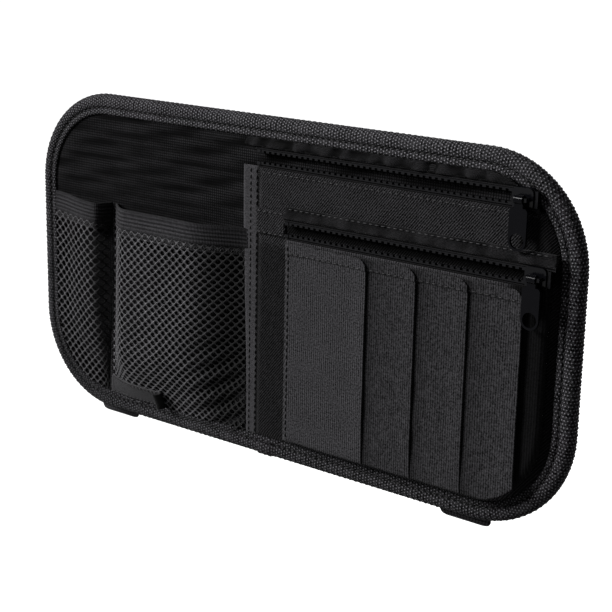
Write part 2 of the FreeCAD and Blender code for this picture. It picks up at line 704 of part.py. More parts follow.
def make_pull(label, x, y, z):
    """A flat pull with a finger hole, curled at its top round the slider's crown bar."""
    body = new_body(label, x, y, z)
    eye_inside = size("crown_bar_radius") + size("eye_clearance")
    eye_outside = eye_inside + size("eye_wall")
    eye_half = size("crown_span") / 2 - size("eye_side_gap")
    half = size("pull_thickness") / 2
    wide = size("pull_width") / 2
    plate = new_sketch(body, "XZ_Plane", -half)
    draw_rectangle(plate, -wide, wide, -size("pull_length"), -size("pull_neck"))
    pad(body, plate, size("pull_thickness"))
    bottom = -size("pull_length")
    round_edges(body, edges_where(body, lambda b: b.YLength > NEAR and b.ZMax < bottom.value + NEAR),
                wide - size("rounding_slack"))
    shoulder = -size("pull_neck")
    round_edges(body, edges_where(body, lambda b: b.YLength > NEAR and b.ZMin > shoulder.value - NEAR),
                size("pull_shoulder"))
    hole = new_sketch(body, "XZ_Plane", -half)
    draw_circle(hole, (as_size(0.0), wide - size("pull_length")), size("pull_hole_radius"))
    pocket(body, hole, size("pull_thickness"))
    neck = new_sketch(body, "XZ_Plane", -half)
    draw_rectangle(neck, -eye_half, eye_half, -size("pull_neck") - half, as_size(0.0))
    pad(body, neck, size("pull_thickness"))
    curl = new_sketch(body, "YZ_Plane", -eye_half)
    draw_circle(curl, (as_size(0.0), as_size(0.0)), eye_outside)
    pad(body, curl, 2 * eye_half)
    bore = new_sketch(body, "YZ_Plane", -eye_half)
    draw_circle(bore, (as_size(0.0), as_size(0.0)), eye_inside)
    pocket(body, bore, 2 * eye_half)
    finish(label, body)


def make_zip(name, back_tape_label, left, tape_y, mouth_z, length, seat, flange_end, front_right):
    """One open zip: two tapes, two tooth rows, end stops, the slider at its right end and a pull.

    The front tape is tucked into the pocket, so it runs between the walls of its sheet.
    """
    tape_left = left - size("zip_margin")
    tape_length = length + 2 * size("zip_margin")
    rise = seat - tape_half
    sewn = [(-tape_half, row_outside), (-tape_half, slope_start + tape_half),
            (seat - 2 * tape_half, slope_start + tape_half + rise), (seat - 2 * tape_half, flange_end),
            (seat, flange_end), (seat, slope_start + rise), (tape_half, slope_start),
            (tape_half, row_outside)]
    back_tape = make_strip(back_tape_label, tape_left, tape_y, mouth_z, tape_length, sewn)
    step = size("sheet_thickness") / 2
    tucked = [(-tape_half, row_outside), (-tape_half, slope_start + tape_half / 2),
              (step, sheet_drop), (step, slope_start + size("tape_overlap")),
              (step + 2 * tape_half, slope_start + size("tape_overlap")),
              (step + 2 * tape_half, slope_start + tape_half / 2), (tape_half, slope_start),
              (tape_half, row_outside)]
    front_left = tape_left + size("sheet_bevel")
    front_tape = make_strip(name + "_zip_front_tape", front_left, tape_y, mouth_z, front_right - front_left,
                            tucked, upside_down=True)
    finish(name + "_zip_front_tape", front_tape)
    make_coil(name + "_zip_back_teeth", left, tape_y, mouth_z, length, False)
    make_coil(name + "_zip_front_teeth", left, tape_y, mouth_z, length, True)
    make_block(name + "_zip_back_stop", left, tape_y, mouth_z, as_size(0.0), size("top_stop_length"),
               row_inside, row_outside)
    make_block(name + "_zip_front_stop", left, tape_y, mouth_z, as_size(0.0), size("top_stop_length"),
               -row_outside, -row_inside)
    make_block(name + "_zip_bottom_stop", left, tape_y, mouth_z, length - size("bottom_stop_length"), length,
               -row_outside, row_outside)
    open_x = left + length - size("bottom_stop_length") - size("stop_gap") - size("slider_length") / 2
    bar_y = make_slider(name + "_zip_slider", open_x, tape_y, mouth_z)
    make_pull(name + "_zip_pull", open_x, tape_y - bar_y, mouth_z)
    return back_tape


def make_flap(label, x, y, z, length, seat, flange_end):
    """The folded cloth edge that covers a zip's back tape."""
    thick = size("flap_thickness")
    low = slope_start
    high = slope_start + seat
    section = [(-tape_half - thick, low), (-tape_half, low), (-tape_half, low + tape_half),
               (seat - 2 * tape_half, high), (seat - 2 * tape_half, flange_end),
               (seat - 2 * tape_half - thick, flange_end),
               (seat - 2 * tape_half - thick, high), (-tape_half - thick, low + tape_half)]
    return make_strip(label, x, y, z, length, section)


upper_left = zip_pocket_left + size("zip_margin")
upper_seat = face - upper_tape_y
upper_flange = inner_top - upper_mouth
whole_tape = make_zip("upper", "upper_zip_back_tape_whole", upper_left, upper_tape_y,
                      upper_mouth, size("upper_zip_length"), upper_seat, upper_flange,
                      upper_left + size("upper_zip_length") + size("zip_margin") - size("sheet_bevel"))
corner_inset = size("binding_width") - size("tape_tuck")
strip_depth = face - upper_front + size("flap_thickness")
notch_for_binding("upper_zip_back_tape",
                  trim_to_rim("upper_zip_back_tape_trimmed", whole_tape, corner_inset, strip_depth))
facing_length = upper_left + size("upper_zip_length") + size("zip_margin") - phone_right
whole_facing = make_flap("top_facing_whole", phone_right, upper_tape_y, upper_mouth,
                         facing_length, upper_seat, upper_flange)
notch_for_binding("top_facing", trim_to_rim("top_facing_trimmed", whole_facing, corner_inset, strip_depth))

lower_left = lower_pocket_left + size("zip_margin")
lower_seat = upper_front - lower_tape_y
lower_flange = slope_start + lower_seat + size("flange_length")
finish("lower_zip_back_tape",
       make_zip("lower", "lower_zip_back_tape", lower_left, lower_tape_y, lower_mouth,
                size("lower_zip_length"), lower_seat, lower_flange,
                inner_right - lower_inset - size("sheet_bevel")))
finish("lower_zip_flap",
       make_flap("lower_zip_flap", lower_left - size("zip_margin"), lower_tape_y, lower_mouth,
                 size("lower_zip_length") + 2 * size("zip_margin"), lower_seat, lower_flange))


# ---------------------------------------------------------------- straps behind the panel
axis_y = size("strap_back_gap") + size("strap_thickness") / 2
seat_y = size("loop_thickness") * 2 + size("hook_gap") + size("strap_thickness") / 2
bow_y = size("visor_gap") + size("strap_thickness") / 2


def make_strap(side, sign):
    """A webbing strap that hangs from its sewn top edge, bows round the visor and closes below."""
    x = sign * (half_width - size(side + "_strap_inset"))
    half = size("strap_width") / 2
    hinge = half_height - size("strap_hinge_drop")
    body = new_body(side + "_strap", x)
    profile = new_sketch(body, "YZ_Plane")
    top = hinge + size("strap_thickness") / 2
    draw_band(profile, [(axis_y, top), (axis_y, hinge - size("strap_start")),
                        (bow_y, half_height - size("bow_top_drop")),
                        (bow_y, size("bow_bottom_rise") - half_height),
                        (seat_y, size("strap_seat_rise") - half_height),
                        (seat_y, size("strap_bend_rise") - half_height),
                        (seat_y + size("strap_flare"), -half_height - size("strap_overhang"))],
              [size("strap_first_bend")] + [size("strap_bend")] * 4, size("strap_thickness"))
    pad(body, profile, 2 * half, both_ways=True)
    top_edges = edges_where(body, lambda b: flat_z(b, top) and b.XLength > 2 * NEAR and b.YLength < NEAR)
    round_edges(body, top_edges, size("strap_thickness") / 2 - size("rounding_slack"))
    lowest = body.Shape.BoundBox.ZMin
    end_height = lowest + size("strap_thickness").value
    end_edges = edges_where(body, lambda b: b.XLength < NEAR and b.ZMax < end_height)
    round_edges(body, end_edges, size("strap_corner"))
    finish(side + "_strap", body)

    def patch(label, low_y, thickness, bottom, top_z):
        piece = new_body(label, x)
        outline = new_sketch(piece, "XZ_Plane", -low_y)
        draw_rectangle(outline, -half, half, bottom, top_z)
        pad(piece, outline, thickness, backwards=True)
        finish(label, piece)

    anchor_bottom = hinge + size("strap_thickness") / 2 + size("anchor_gap")
    patch(side + "_strap_anchor", as_size(0.0), size("strap_thickness"), anchor_bottom,
          anchor_bottom + size("anchor_height"))
    loop_top = size("loop_top_rise") - half_height
    patch(side + "_loop_patch", as_size(0.0), size("loop_thickness"),
          loop_top - size("loop_height"), loop_top)
    hook_top = size("hook_top_rise") - half_height
    patch(side + "_hook_patch", size("loop_thickness") + size("hook_gap"), size("loop_thickness"),
          hook_top - size("hook_height"), hook_top)


make_strap("left", -1.0)
make_strap("right", 1.0)


# ---------------------------------------------------------------- check and write
doc.recompute()
for item in doc.Objects:
    if "Invalid" in item.State or "Error" in item.State:
        raise RuntimeError("%s did not build: %s" % (item.Label, item.State))
os.makedirs("parts", exist_ok=True)
triangles = 0
for label, item in sorted(finished.items()):
    shape = item.Shape
    if shape.isNull() or not shape.isValid() or len(shape.Solids) != 1 or shape.Volume <= 0:
        raise RuntimeError(label + " is not one sound solid")
    triangles += len(shape.tessellate(0.1)[1])
    shape.exportStep(os.path.join("parts", label + ".step"))
    print("%-24s volume %9.1f  faces %4d" % (label, shape.Volume, len(shape.Faces)))
print("nodes", len(finished), "triangles", triangles)
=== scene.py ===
"""Looks of the sun-visor organiser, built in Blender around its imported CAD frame.

Shapes are worked out in millimetres, with the face towards -Y, and turned into metres when a mesh is made.
"""
import json
import math
from functools import partialmethod

import bpy
import bmesh
import numpy as np
from mathutils import Matrix, Vector

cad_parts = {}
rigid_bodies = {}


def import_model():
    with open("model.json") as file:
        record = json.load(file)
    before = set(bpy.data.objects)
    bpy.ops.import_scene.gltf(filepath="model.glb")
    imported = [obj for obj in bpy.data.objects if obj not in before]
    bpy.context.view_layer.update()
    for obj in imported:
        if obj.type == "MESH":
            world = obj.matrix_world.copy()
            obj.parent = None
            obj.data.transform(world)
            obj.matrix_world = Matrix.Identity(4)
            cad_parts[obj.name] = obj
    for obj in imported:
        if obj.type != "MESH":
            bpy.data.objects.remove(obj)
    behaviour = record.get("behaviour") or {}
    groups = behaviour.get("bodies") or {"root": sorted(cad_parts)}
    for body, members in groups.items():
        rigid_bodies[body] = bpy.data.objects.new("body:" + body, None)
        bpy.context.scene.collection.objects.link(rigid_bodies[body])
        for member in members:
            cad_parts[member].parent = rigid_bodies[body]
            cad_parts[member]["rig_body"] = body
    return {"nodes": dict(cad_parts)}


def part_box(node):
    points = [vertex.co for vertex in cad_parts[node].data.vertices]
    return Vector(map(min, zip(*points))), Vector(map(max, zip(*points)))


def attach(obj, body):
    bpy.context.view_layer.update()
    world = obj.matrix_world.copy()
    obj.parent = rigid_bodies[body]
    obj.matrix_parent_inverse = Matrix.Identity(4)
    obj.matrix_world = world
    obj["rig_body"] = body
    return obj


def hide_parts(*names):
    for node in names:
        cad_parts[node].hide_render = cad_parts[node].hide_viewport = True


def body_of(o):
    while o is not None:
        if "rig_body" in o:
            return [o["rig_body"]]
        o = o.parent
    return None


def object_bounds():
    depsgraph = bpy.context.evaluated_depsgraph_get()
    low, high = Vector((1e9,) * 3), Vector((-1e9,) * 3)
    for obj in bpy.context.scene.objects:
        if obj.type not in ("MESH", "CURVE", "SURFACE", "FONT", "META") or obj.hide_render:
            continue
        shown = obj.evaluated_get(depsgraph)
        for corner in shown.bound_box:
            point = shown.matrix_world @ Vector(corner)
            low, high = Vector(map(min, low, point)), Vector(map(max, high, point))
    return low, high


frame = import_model()
cad_box = [list(corner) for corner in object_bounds()]
nodes = frame["nodes"]
scene = bpy.context.scene
MM = 0.001


def box_mm(node):
    """Lowest and highest corner of a CAD node, in millimetres."""
    low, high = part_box(node)
    return np.array(low) / MM, np.array(high) / MM


# The panel's outline: half its size, its corner radius, and the half lengths of its straight edges.
HALF_WIDE, _, HALF_HIGH = box_mm("edge_binding")[1]
CORNER = 46.0
STRAIGHT_WIDE, STRAIGHT_HIGH = HALF_WIDE - CORNER, HALF_HIGH - CORNER
BAND = 9.5                   # width of the binding on the front
TUCKED = 1.9                 # how far inside the rim the covers end, under the binding
LOWER_BAND = BAND + 2.4      # the same for the lower pocket and its card slots, which stop short of the binding
FACE = box_mm("front_lining")[0][1]
FORWARD, BACKWARD = (0.0, -1.0, 0.0), (0.0, 1.0, 0.0)


# ---- camera, floor and light
CAMERA_ANGLES = (38.10, 15.37, 1.16)     # azimuth, elevation and roll, in degrees
CAMERA_PLACE = (0.41278, -0.50982, 0.17347)
CAMERA_LENS = 88.24                       # for a sensor 36 mm wide
FLOOR_DROP = 0.20                         # how far the floor lies below the part
WORLD_LIGHT, KEY_LIGHT, RIM_LIGHT, BACK_LIGHT = 0.13, 20.5, 3.5, 42.0


def make_camera():
    azimuth, elevation, roll = (math.radians(a) for a in CAMERA_ANGLES)
    back = Vector((math.sin(azimuth) * math.cos(elevation), -math.cos(azimuth) * math.cos(elevation),
                   math.sin(elevation)))
    right = Vector((math.cos(azimuth), math.sin(azimuth), 0.0))
    up = back.cross(right)
    x_axis = math.cos(roll) * right + math.sin(roll) * up
    y_axis = -math.sin(roll) * right + math.cos(roll) * up
    data = bpy.data.cameras.new("camera")
    data.sensor_width = 36.0
    data.lens = CAMERA_LENS
    data.clip_start, data.clip_end = 0.05, 100.0
    camera = bpy.data.objects.new("camera", data)
    matrix = Matrix((x_axis, y_axis, back)).transposed().to_4x4()
    matrix.translation = Vector(CAMERA_PLACE)
    camera.matrix_world = matrix
    scene.collection.objects.link(camera)
    scene.camera = camera


def add_light(name, kind, place, energy, **values):
    """A light that shines from its place to the origin."""
    data = bpy.data.lights.new(name, kind)
    data.energy = energy
    for key, value in values.items():
        setattr(data, key, value)
    light = bpy.data.objects.new(name, data)
    light.location = place
    light.rotation_euler = (-Vector(place)).to_track_quat("-Z", "Y").to_euler()
    light.visible_camera = False
    scene.collection.objects.link(light)


def make_stage():
    bm = bmesh.new()
    bmesh.ops.create_grid(bm, x_segments=1, y_segments=1, size=25.0)
    mesh = bpy.data.meshes.new("floor")
    bm.to_mesh(mesh)
    bm.free()
    floor = bpy.data.objects.new("floor", mesh)
    floor.location.z = cad_box[0][2] - FLOOR_DROP
    scene.collection.objects.link(floor)
    material = bpy.data.materials.new("floor")
    material.use_nodes = True
    shader = material.node_tree.nodes["Principled BSDF"]
    shader.inputs["Base Color"].default_value = (0.31, 0.31, 0.31, 1.0)
    shader.inputs["Roughness"].default_value = 0.9
    mesh.materials.append(material)
    world = bpy.data.worlds.new("studio")
    world.use_nodes = True
    sky = world.node_tree.nodes["Background"]
    sky.inputs["Color"].default_value = (1.0, 1.0, 1.0, 1.0)
    sky.inputs["Strength"].default_value = WORLD_LIGHT
    scene.world = world
    scene.view_settings.view_transform = "Standard"
    add_light("key", "SUN", (-0.9, -0.85, 0.7), KEY_LIGHT, angle=math.radians(22.0))
    add_light("rim", "AREA", (1.3, -0.1, 0.9), RIM_LIGHT, shape="RECTANGLE", size=0.5, size_y=0.9)
    add_light("back", "AREA", (0.45, 1.5, 0.40), BACK_LIGHT, shape="RECTANGLE", size=1.0, size_y=0.8)


make_camera()
make_stage()


# ---- materials
class Value:
    """A number in a shader. Adding, multiplying and so on make the Math nodes for it."""

    def __init__(self, tree, socket):
        self.tree, self.socket = tree, socket

    def step(self, operation, *others):
        node = self.tree.nodes.new("ShaderNodeMath")
        node.operation = operation
        for socket, value in zip(node.inputs, (self, *others)):
            if isinstance(value, Value):
                self.tree.links.new(value.socket, socket)
            else:
                socket.default_value = value
        return Value(self.tree, node.outputs[0])

    __add__ = partialmethod(step, "ADD")
    __sub__ = partialmethod(step, "SUBTRACT")
    __mul__ = partialmethod(step, "MULTIPLY")
    __pow__ = partialmethod(step, "POWER")
    __abs__ = partialmethod(step, "ABSOLUTE")
    at_least = partialmethod(step, "MAXIMUM")
    sine = partialmethod(step, "SINE")

    def __rsub__(self, other):
        """One number less this value, as a sum."""
        return self * -1.0 + other

    def wave(self, pitch):
        """A smooth wave from 0 to 1 that repeats every pitch."""
        return ((self * (2 * math.pi / pitch)).sine() + 1.0) * 0.5


class Shader:
    """A Principled material that is built up from values."""

    def __init__(self, name, roughness, **sockets):
        self.material = bpy.data.materials.new(name)
        self.material.use_nodes = True
        self.tree = self.material.node_tree
        self.surface = self.tree.nodes["Principled BSDF"]
        self.surface.inputs["Roughness"].default_value = roughness
        for socket, value in sockets.items():
            self.surface.inputs[socket.replace("_", " ")].default_value = value

    def node(self, kind, **inputs):
        """A new node. Its inputs are set to numbers or linked to sockets."""
        made = self.tree.nodes.new("ShaderNode" + kind)
        for name, value in inputs.items():
            socket = made.inputs[name.replace("_", " ")]
            if isinstance(value, (int, float)):
                socket.default_value = value
            else:
                self.tree.links.new(value, socket)
        return made

    def feed(self, name, socket):
        self.tree.links.new(socket, self.surface.inputs[name])

    def cloth_lengths(self):
        """The two lengths along the cloth in millimetres, the place's shade, and all three as one vector."""
        vector = self.node("Attribute")
        vector.attribute_name = "cloth"
        split = self.node("SeparateXYZ", Vector=vector.outputs["Vector"])
        return [Value(self.tree, out) for out in split.outputs] + [vector.outputs["Vector"]]

    def noise(self, vector, scale, detail=3.0):
        return Value(self.tree, self.node("TexNoise", Scale=scale, Detail=detail, Vector=vector).outputs[0])

    def colour(self, value, dark, light):
        ramp = self.node("ValToRGB")
        for element, tone in zip(ramp.color_ramp.elements, (dark, light)):
            element.color = (*tone, 1.0)
        self.tree.links.new(value.socket, ramp.inputs[0])
        self.feed("Base Color", ramp.outputs[0])

    def rough(self, value, low, high):
        self.feed("Roughness", self.node("MapRange", To_Min=low, To_Max=high, Value=value.socket).outputs[0])

    def bump(self, value, depth):
        """Raises the surface by value times depth, in millimetres."""
        self.feed("Normal", self.node("Bump", Strength=1.0, Distance=depth * MM, Height=value.socket).outputs[0])


def grey(level):
    return (level * 0.39, level * 0.38, level * 0.41)


def woven(name, pattern, dark, light, depth, sheen=0.01, roughness=(0.7, 0.95), fuzz=0.25, gloss=1.06, sharp=1.8,
          blotch=0.2):
    """Cloth: pattern(u, v) gives the threads' height from 0 to 1. Cloth hardly reflects: gloss is its IOR."""
    made = Shader(name, roughness[1], Sheen_Weight=sheen, Sheen_Roughness=0.4, IOR=gloss)
    u, v, shade, whole = made.cloth_lengths()
    threads = pattern(u, v)
    patches, fibres = made.noise(whole, 0.09, 4.0), made.noise(whole, 1.3)
    uneven = (patches - 0.42) * blotch + (fibres - 0.42) * (3.2 * fuzz)
    # The cloth's third value is painted shade: it darkens the colour, and the shaded threads are also rougher.
    lit = 1.0 - shade
    made.colour((threads ** sharp * 0.85 + uneven) * lit, grey(dark), grey(light))
    made.rough(threads * lit, roughness[1], roughness[0])
    made.bump(threads + fibres * 0.5, depth)
    return made.material


def hard(name, base, roughness, metallic, scratch, gloss=1.45):
    """Moulded or plated parts: fine scratches and a slow change of gloss in the object's own space."""
    made = Shader(name, roughness, Metallic=metallic, IOR=gloss)
    space = made.node("TexCoord").outputs["Object"]
    slow, fine = made.noise(space, 160.0), made.noise(space, 1400.0, 4.0)
    mixed = slow * 0.6 + fine * 0.4
    made.colour(mixed, tuple(c * 0.75 for c in base), tuple(min(c * 1.35, 1.0) for c in base))
    made.rough(mixed, max(roughness - 0.08, 0.02), roughness + 0.14)
    made.bump(fine, scratch)
    return made.material


def plain_weave(pitch):
    """Threads over and under: a chequer of small bumps."""
    turn = math.pi / pitch
    return lambda u, v: abs((u * turn).sine() * (v * turn).sine())


def twill(pitch, rise):
    """Diagonal ridges, each broken into short floats."""
    return lambda u, v: (u - v * rise).wave(pitch) ** 1.5 * ((u + v).wave(pitch * 0.62) * 0.55 + 0.45)


def beads(pitch, cross):
    """Ribs across a tape, each one a row of beads set half a bead off its neighbours."""
    def pattern(u, v):
        rib = (u * (math.pi / pitch)).sine()
        bead = (rib * (v * (2 * math.pi / cross)).sine()).at_least(0.0) ** 0.7
        return abs(rib) ** 2.0 * 0.6 + bead * 0.4
    return pattern


def lengthwise(pitch):
    """Fine cords that run along a tape."""
    return lambda u, v: v.wave(pitch) * 0.8 + u.wave(0.7) * 0.2


def ribs(pitch, cross, amount=0.45):
    """Ribs that run along v, with finer threads across them."""
    return lambda u, v: u.wave(pitch) * (1.0 - amount) + v.wave(cross) * amount


RIB_PITCH = 1.5              # of the binding, in its colour and in its shape
WEBBING_PITCH = (1.3, 3.2)   # of the straps' weave, along and across

# Each cloth: name, pattern, the darkest and lightest grey of its threads, and how deep its pattern is in mm.
MATERIALS = {
    "binding": woven("binding_tape", beads(RIB_PITCH, 1.5), 0.0001, 0.205, 0.34, sharp=5.5, fuzz=0.16, blotch=0.1),
    "lining": woven("panel_cloth", plain_weave(1.2), 0.0003, 0.0150, 0.12, sheen=0.0, blotch=0.4),
    "cover": woven("back_cloth", plain_weave(0.95), 0.001, 0.075, 0.20),
    "pocket": woven("pocket_cloth", twill(1.30, 0.85), 0.0001, 0.052, 0.32, fuzz=0.3, sharp=2.4),
    "facing": woven("facing_cloth", plain_weave(0.60), 0.0002, 0.0190, 0.12, blotch=0.6),
    "panel": woven("slot_cloth", ribs(1.15, 0.42, 0.45), 0.0005, 0.041, 0.15, fuzz=0.65),
    "seam": woven("seam_tape", plain_weave(0.42), 0.004, 0.068, 0.08, sheen=0.02),
    "zip_tape": woven("zip_tape", lengthwise(0.95), 0.0002, 0.0110, 0.16),
    "elastic": woven("elastic", ribs(0.75, 1.6, 0.30), 0.0003, 0.050, 0.10),
    "webbing": woven("webbing", ribs(1.3, 1.6, 0.5), 0.001, 0.038, 0.16, sheen=0.03),
    "patch": woven("smooth_patch", plain_weave(0.35), 0.0005, 0.046, 0.03, roughness=(0.5, 0.9), gloss=1.12),
    "net": woven("net_yarn", twill(0.55, 1.0), 0.0006, 0.112, 0.05, roughness=(0.32, 0.92), gloss=1.16),
    # The layer behind is the same yarn painted darker, as shade from the layer in front.
    "inner_net": woven("inner_net_shaded_yarn", twill(0.55, 1.0), 0.0003, 0.060, 0.05, roughness=(0.34, 0.92),
                       gloss=1.10),
    "thread": woven("thread", ribs(0.5, 0.5), 0.002, 0.022, 0.03, roughness=(0.38, 0.8), gloss=1.15),
    "loops": woven("loop_pile", plain_weave(0.9), 0.001, 0.040, 0.35, sheen=0.08, fuzz=0.9),
    "hooks": woven("hook_tape", plain_weave(1.1), 0.002, 0.034, 0.20, roughness=(0.4, 0.7)),
    "foam": woven("foam", plain_weave(1.7), 0.03, 0.06, 0.25, fuzz=0.8),
}


# ---- mesh tools
def piece(name, points, faces, material, replaced=(), body="organiser", *, cloth, slot=None, thickness=0.0,
          offset=-1.0, smooth_levels=0):
    """A mesh piece from points in millimetres, with its cloth lengths, that rides on a body."""
    mesh = bpy.data.meshes.new(name)
    mesh.from_pydata((np.asarray(points, dtype=float) * MM).tolist(), [], faces)
    layer = mesh.attributes.new("cloth", "FLOAT_VECTOR", "POINT")
    layer.data.foreach_set("vector", np.asarray(cloth, dtype=np.float32).ravel())
    mesh.polygons.foreach_set("use_smooth", [True] * len(mesh.polygons))
    mesh.materials.append(MATERIALS[material])
    made = bpy.data.objects.new(name, mesh)
    scene.collection.objects.link(made)
    if thickness:
        shell = made.modifiers.new("shell", "SOLIDIFY")
        shell.thickness = thickness * MM
        shell.offset = offset
    if smooth_levels:
        rounded = made.modifiers.new("rounded", "SUBSURF")
        rounded.levels = rounded.render_levels = smooth_levels
    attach(made, body)
    if replaced:
        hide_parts(*replaced)
    return made


def ease(t):
    t = np.clip(t, 0.0, 1.0)
    return t * t * (3.0 - 2.0 * t)


def creases(a, b, size, seed):
    """Smooth, repeatable unevenness between about -1 and 1."""
    rng = np.random.default_rng(seed)
    total = np.zeros(np.broadcast(a, b).shape)
    for _ in range(6):
        angle, phase = rng.uniform(0, math.pi), rng.uniform(0, 2 * math.pi)
        length = size * rng.uniform(0.7, 1.6)
        total += np.sin((a * math.cos(angle) + b * math.sin(angle)) * 2 * math.pi / length + phase)
    return total / 3.0


def path_lengths(*columns):
    """The length gone at each point of a path, from its coordinates."""
    steps = np.sqrt(sum(np.diff(column) ** 2 for column in columns))
    return np.concatenate([[0.0], np.cumsum(steps)])


def lines(low, high, step, fine=()):
    """Grid lines with their usual step, and closer together in the fine ranges."""
    places = [low]
    while places[-1] < high - 1e-6:
        here = next((s for a, b, s in fine if a - 1e-6 <= places[-1] < b), step)
        stops = [e for a, b, _ in fine for e in (a, b) if e > places[-1] + 1e-6] + [high]
        places.append(min(places[-1] + here, min(stops)))
    return np.array(places)


def grid_faces(rows, columns, closed=False):
    faces = []
    for i in range(rows - 1):
        for j in range(columns if closed else columns - 1):
            k = (j + 1) % columns
            faces.append((i * columns + j, (i + 1) * columns + j, (i + 1) * columns + k, i * columns + k))
    return faces


def rim_reach(x, z):
    """How far points lie out from the corners' centres, and the parts of it along X and Z."""
    over_x, over_z = np.abs(x) - STRAIGHT_WIDE, np.abs(z) - STRAIGHT_HIGH
    in_corner = (over_x > 0) & (over_z > 0)
    reach = np.where(in_corner, np.hypot(over_x, over_z), np.maximum(over_x, over_z))
    return reach, in_corner, over_x, over_z


def rim_room(x, z, inset):
    """How far a point lies inside the rim moved inwards by inset."""
    return CORNER - inset - rim_reach(x, z)[0]


def inside_rim(x, z, inset):
    """Moves points that lie outside the rim, moved inwards by inset, onto it. Also says which they were."""
    radius = CORNER - inset
    reach, in_corner, over_x, over_z = rim_reach(x, z)
    outside = reach > radius + 1e-6
    scale = np.where(in_corner & outside, radius / np.maximum(reach, 1e-9), 1.0)
    wide, high = STRAIGHT_WIDE + radius, STRAIGHT_HIGH + radius
    moved_x = np.where(in_corner, np.sign(x) * (STRAIGHT_WIDE + over_x * scale), np.clip(x, -wide, wide))
    moved_z = np.where(in_corner, np.sign(z) * (STRAIGHT_HIGH + over_z * scale), np.clip(z, -high, high))
    return moved_x, moved_z, outside


def edge_room(x, z, low, high):
    """How far a point lies inside the nearest edge of a box, seen from the front."""
    return np.minimum(np.minimum(x - low[0], high[0] - x), np.minimum(z - low[2], high[2] - z))


def cloth_patch(name, xs, zs, height, material, replaced=(), inset=None, thickness=0.7, offset=-1.0,
                shade=None, **more):
    """A cloth over a grid of X and Z lines, cut at the rim, with its front at height(x, z)."""
    x, z = (g.ravel() for g in np.meshgrid(xs, zs, indexing="ij"))
    outside = np.zeros(len(x), dtype=bool)
    if inset is not None:
        x, z, outside = inside_rim(x, z, inset)
    faces = [f for f in grid_faces(len(xs), len(zs)) if not outside[list(f)].all()]
    used = sorted({i for f in faces for i in f})
    order = {old: new for new, old in enumerate(used)}
    points = np.stack([x, height(x, z), z], axis=1)[used]
    cloth = np.stack([x, z, shade(x, z) if shade else np.zeros_like(x)], axis=1)[used]
    return piece(name, points, [tuple(order[i] for i in f) for f in faces], material, replaced, cloth=cloth,
                 thickness=thickness, offset=offset, **more)


def swept(name, rings, cloth, material, closed_path=False, **more):
    """A skin over closed rings of points. Its ends are capped, unless the path comes back to its start."""
    count, size = rings.shape[:2]
    last = (count - 1) * size
    faces = grid_faces(count, size, True)
    if closed_path:
        faces += [(last + j, j, (j + 1) % size, last + (j + 1) % size) for j in range(size)]
    else:
        faces += [tuple(range(size)), tuple(reversed(range(last, last + size)))]
    made = piece(name, rings.reshape(-1, 3), faces, material, cloth=cloth.reshape(-1, 3), **more)
    bm = bmesh.new()
    bm.from_mesh(made.data)
    bmesh.ops.recalc_face_normals(bm, faces=bm.faces)
    bm.to_mesh(made.data)
    bm.free()
    return made


stitches = {}                # for each body, blocks of rings of points: one row of rings for each thread


def stitch_line(points, outwards, body="organiser", pitch=3.1, length=2.3, radius=0.24, lift=0.05):
    """Threads along a line on the cloth: each one a short bar that rises from a hole and goes back into one."""
    points = np.asarray(points, dtype=float)
    outwards = np.broadcast_to(np.asarray(outwards, dtype=float), points.shape)
    gone = path_lengths(*points.T)
    count = int((gone[-1] - length) / pitch) + 1
    if count < 1:
        return
    starts = (gone[-1] - (count - 1) * pitch - length) / 2 + np.arange(count) * pitch
    share = np.array([0.0, 0.12, 0.35, 0.65, 0.88, 1.0])
    rise = np.array([-0.9, 0.1, 0.75, 0.75, 0.1, -0.9])
    wide = np.array([0.55, 0.95, 1.0, 1.0, 0.95, 0.55])
    where = starts[:, None] + share[None, :] * length
    centre = np.stack([np.interp(where, gone, points[:, k]) for k in range(3)], axis=-1)
    out = np.stack([np.interp(where, gone, outwards[:, k]) for k in range(3)], axis=-1)
    out /= np.linalg.norm(out, axis=-1, keepdims=True)
    along = centre[:, -1] - centre[:, 0]
    along /= np.linalg.norm(along, axis=-1, keepdims=True)
    side = np.cross(np.broadcast_to(along[:, None, :], out.shape), out)
    angles = np.arange(6) * math.pi / 3
    ring = (centre + out * (rise * radius + lift)[None, :, None])[:, :, None, :] \
        + (side[:, :, None, :] * np.cos(angles)[None, None, :, None]
           + out[:, :, None, :] * np.sin(angles)[None, None, :, None]) * (wide * radius)[None, :, None, None]
    stitches.setdefault(body, []).append(ring)


def stitch_front(x, y, z, **more):
    """Threads on the front along a line. Each of its coordinates is an array or one number."""
    stitch_line(np.stack(np.broadcast_arrays(x, y, z), axis=1), FORWARD, **more)


def sew_stitches():
    """One piece for all the threads on a body."""
    for body, sets in stitches.items():
        rings = np.concatenate(sets)
        count, size = rings.shape[1:3]
        block = count * size
        faces = []
        pattern = grid_faces(count, size, True) + [tuple(range(size)), tuple(reversed(range(block - size, block)))]
        for n in range(len(rings)):
            faces += [tuple(n * block + i for i in f) for f in pattern]
        points = rings.reshape(-1, 3)
        piece("stitching_" + body, points, faces, "thread", body=body, slot="binding_tape",
              cloth=points * np.array([1.0, 1.0, 0.0]))


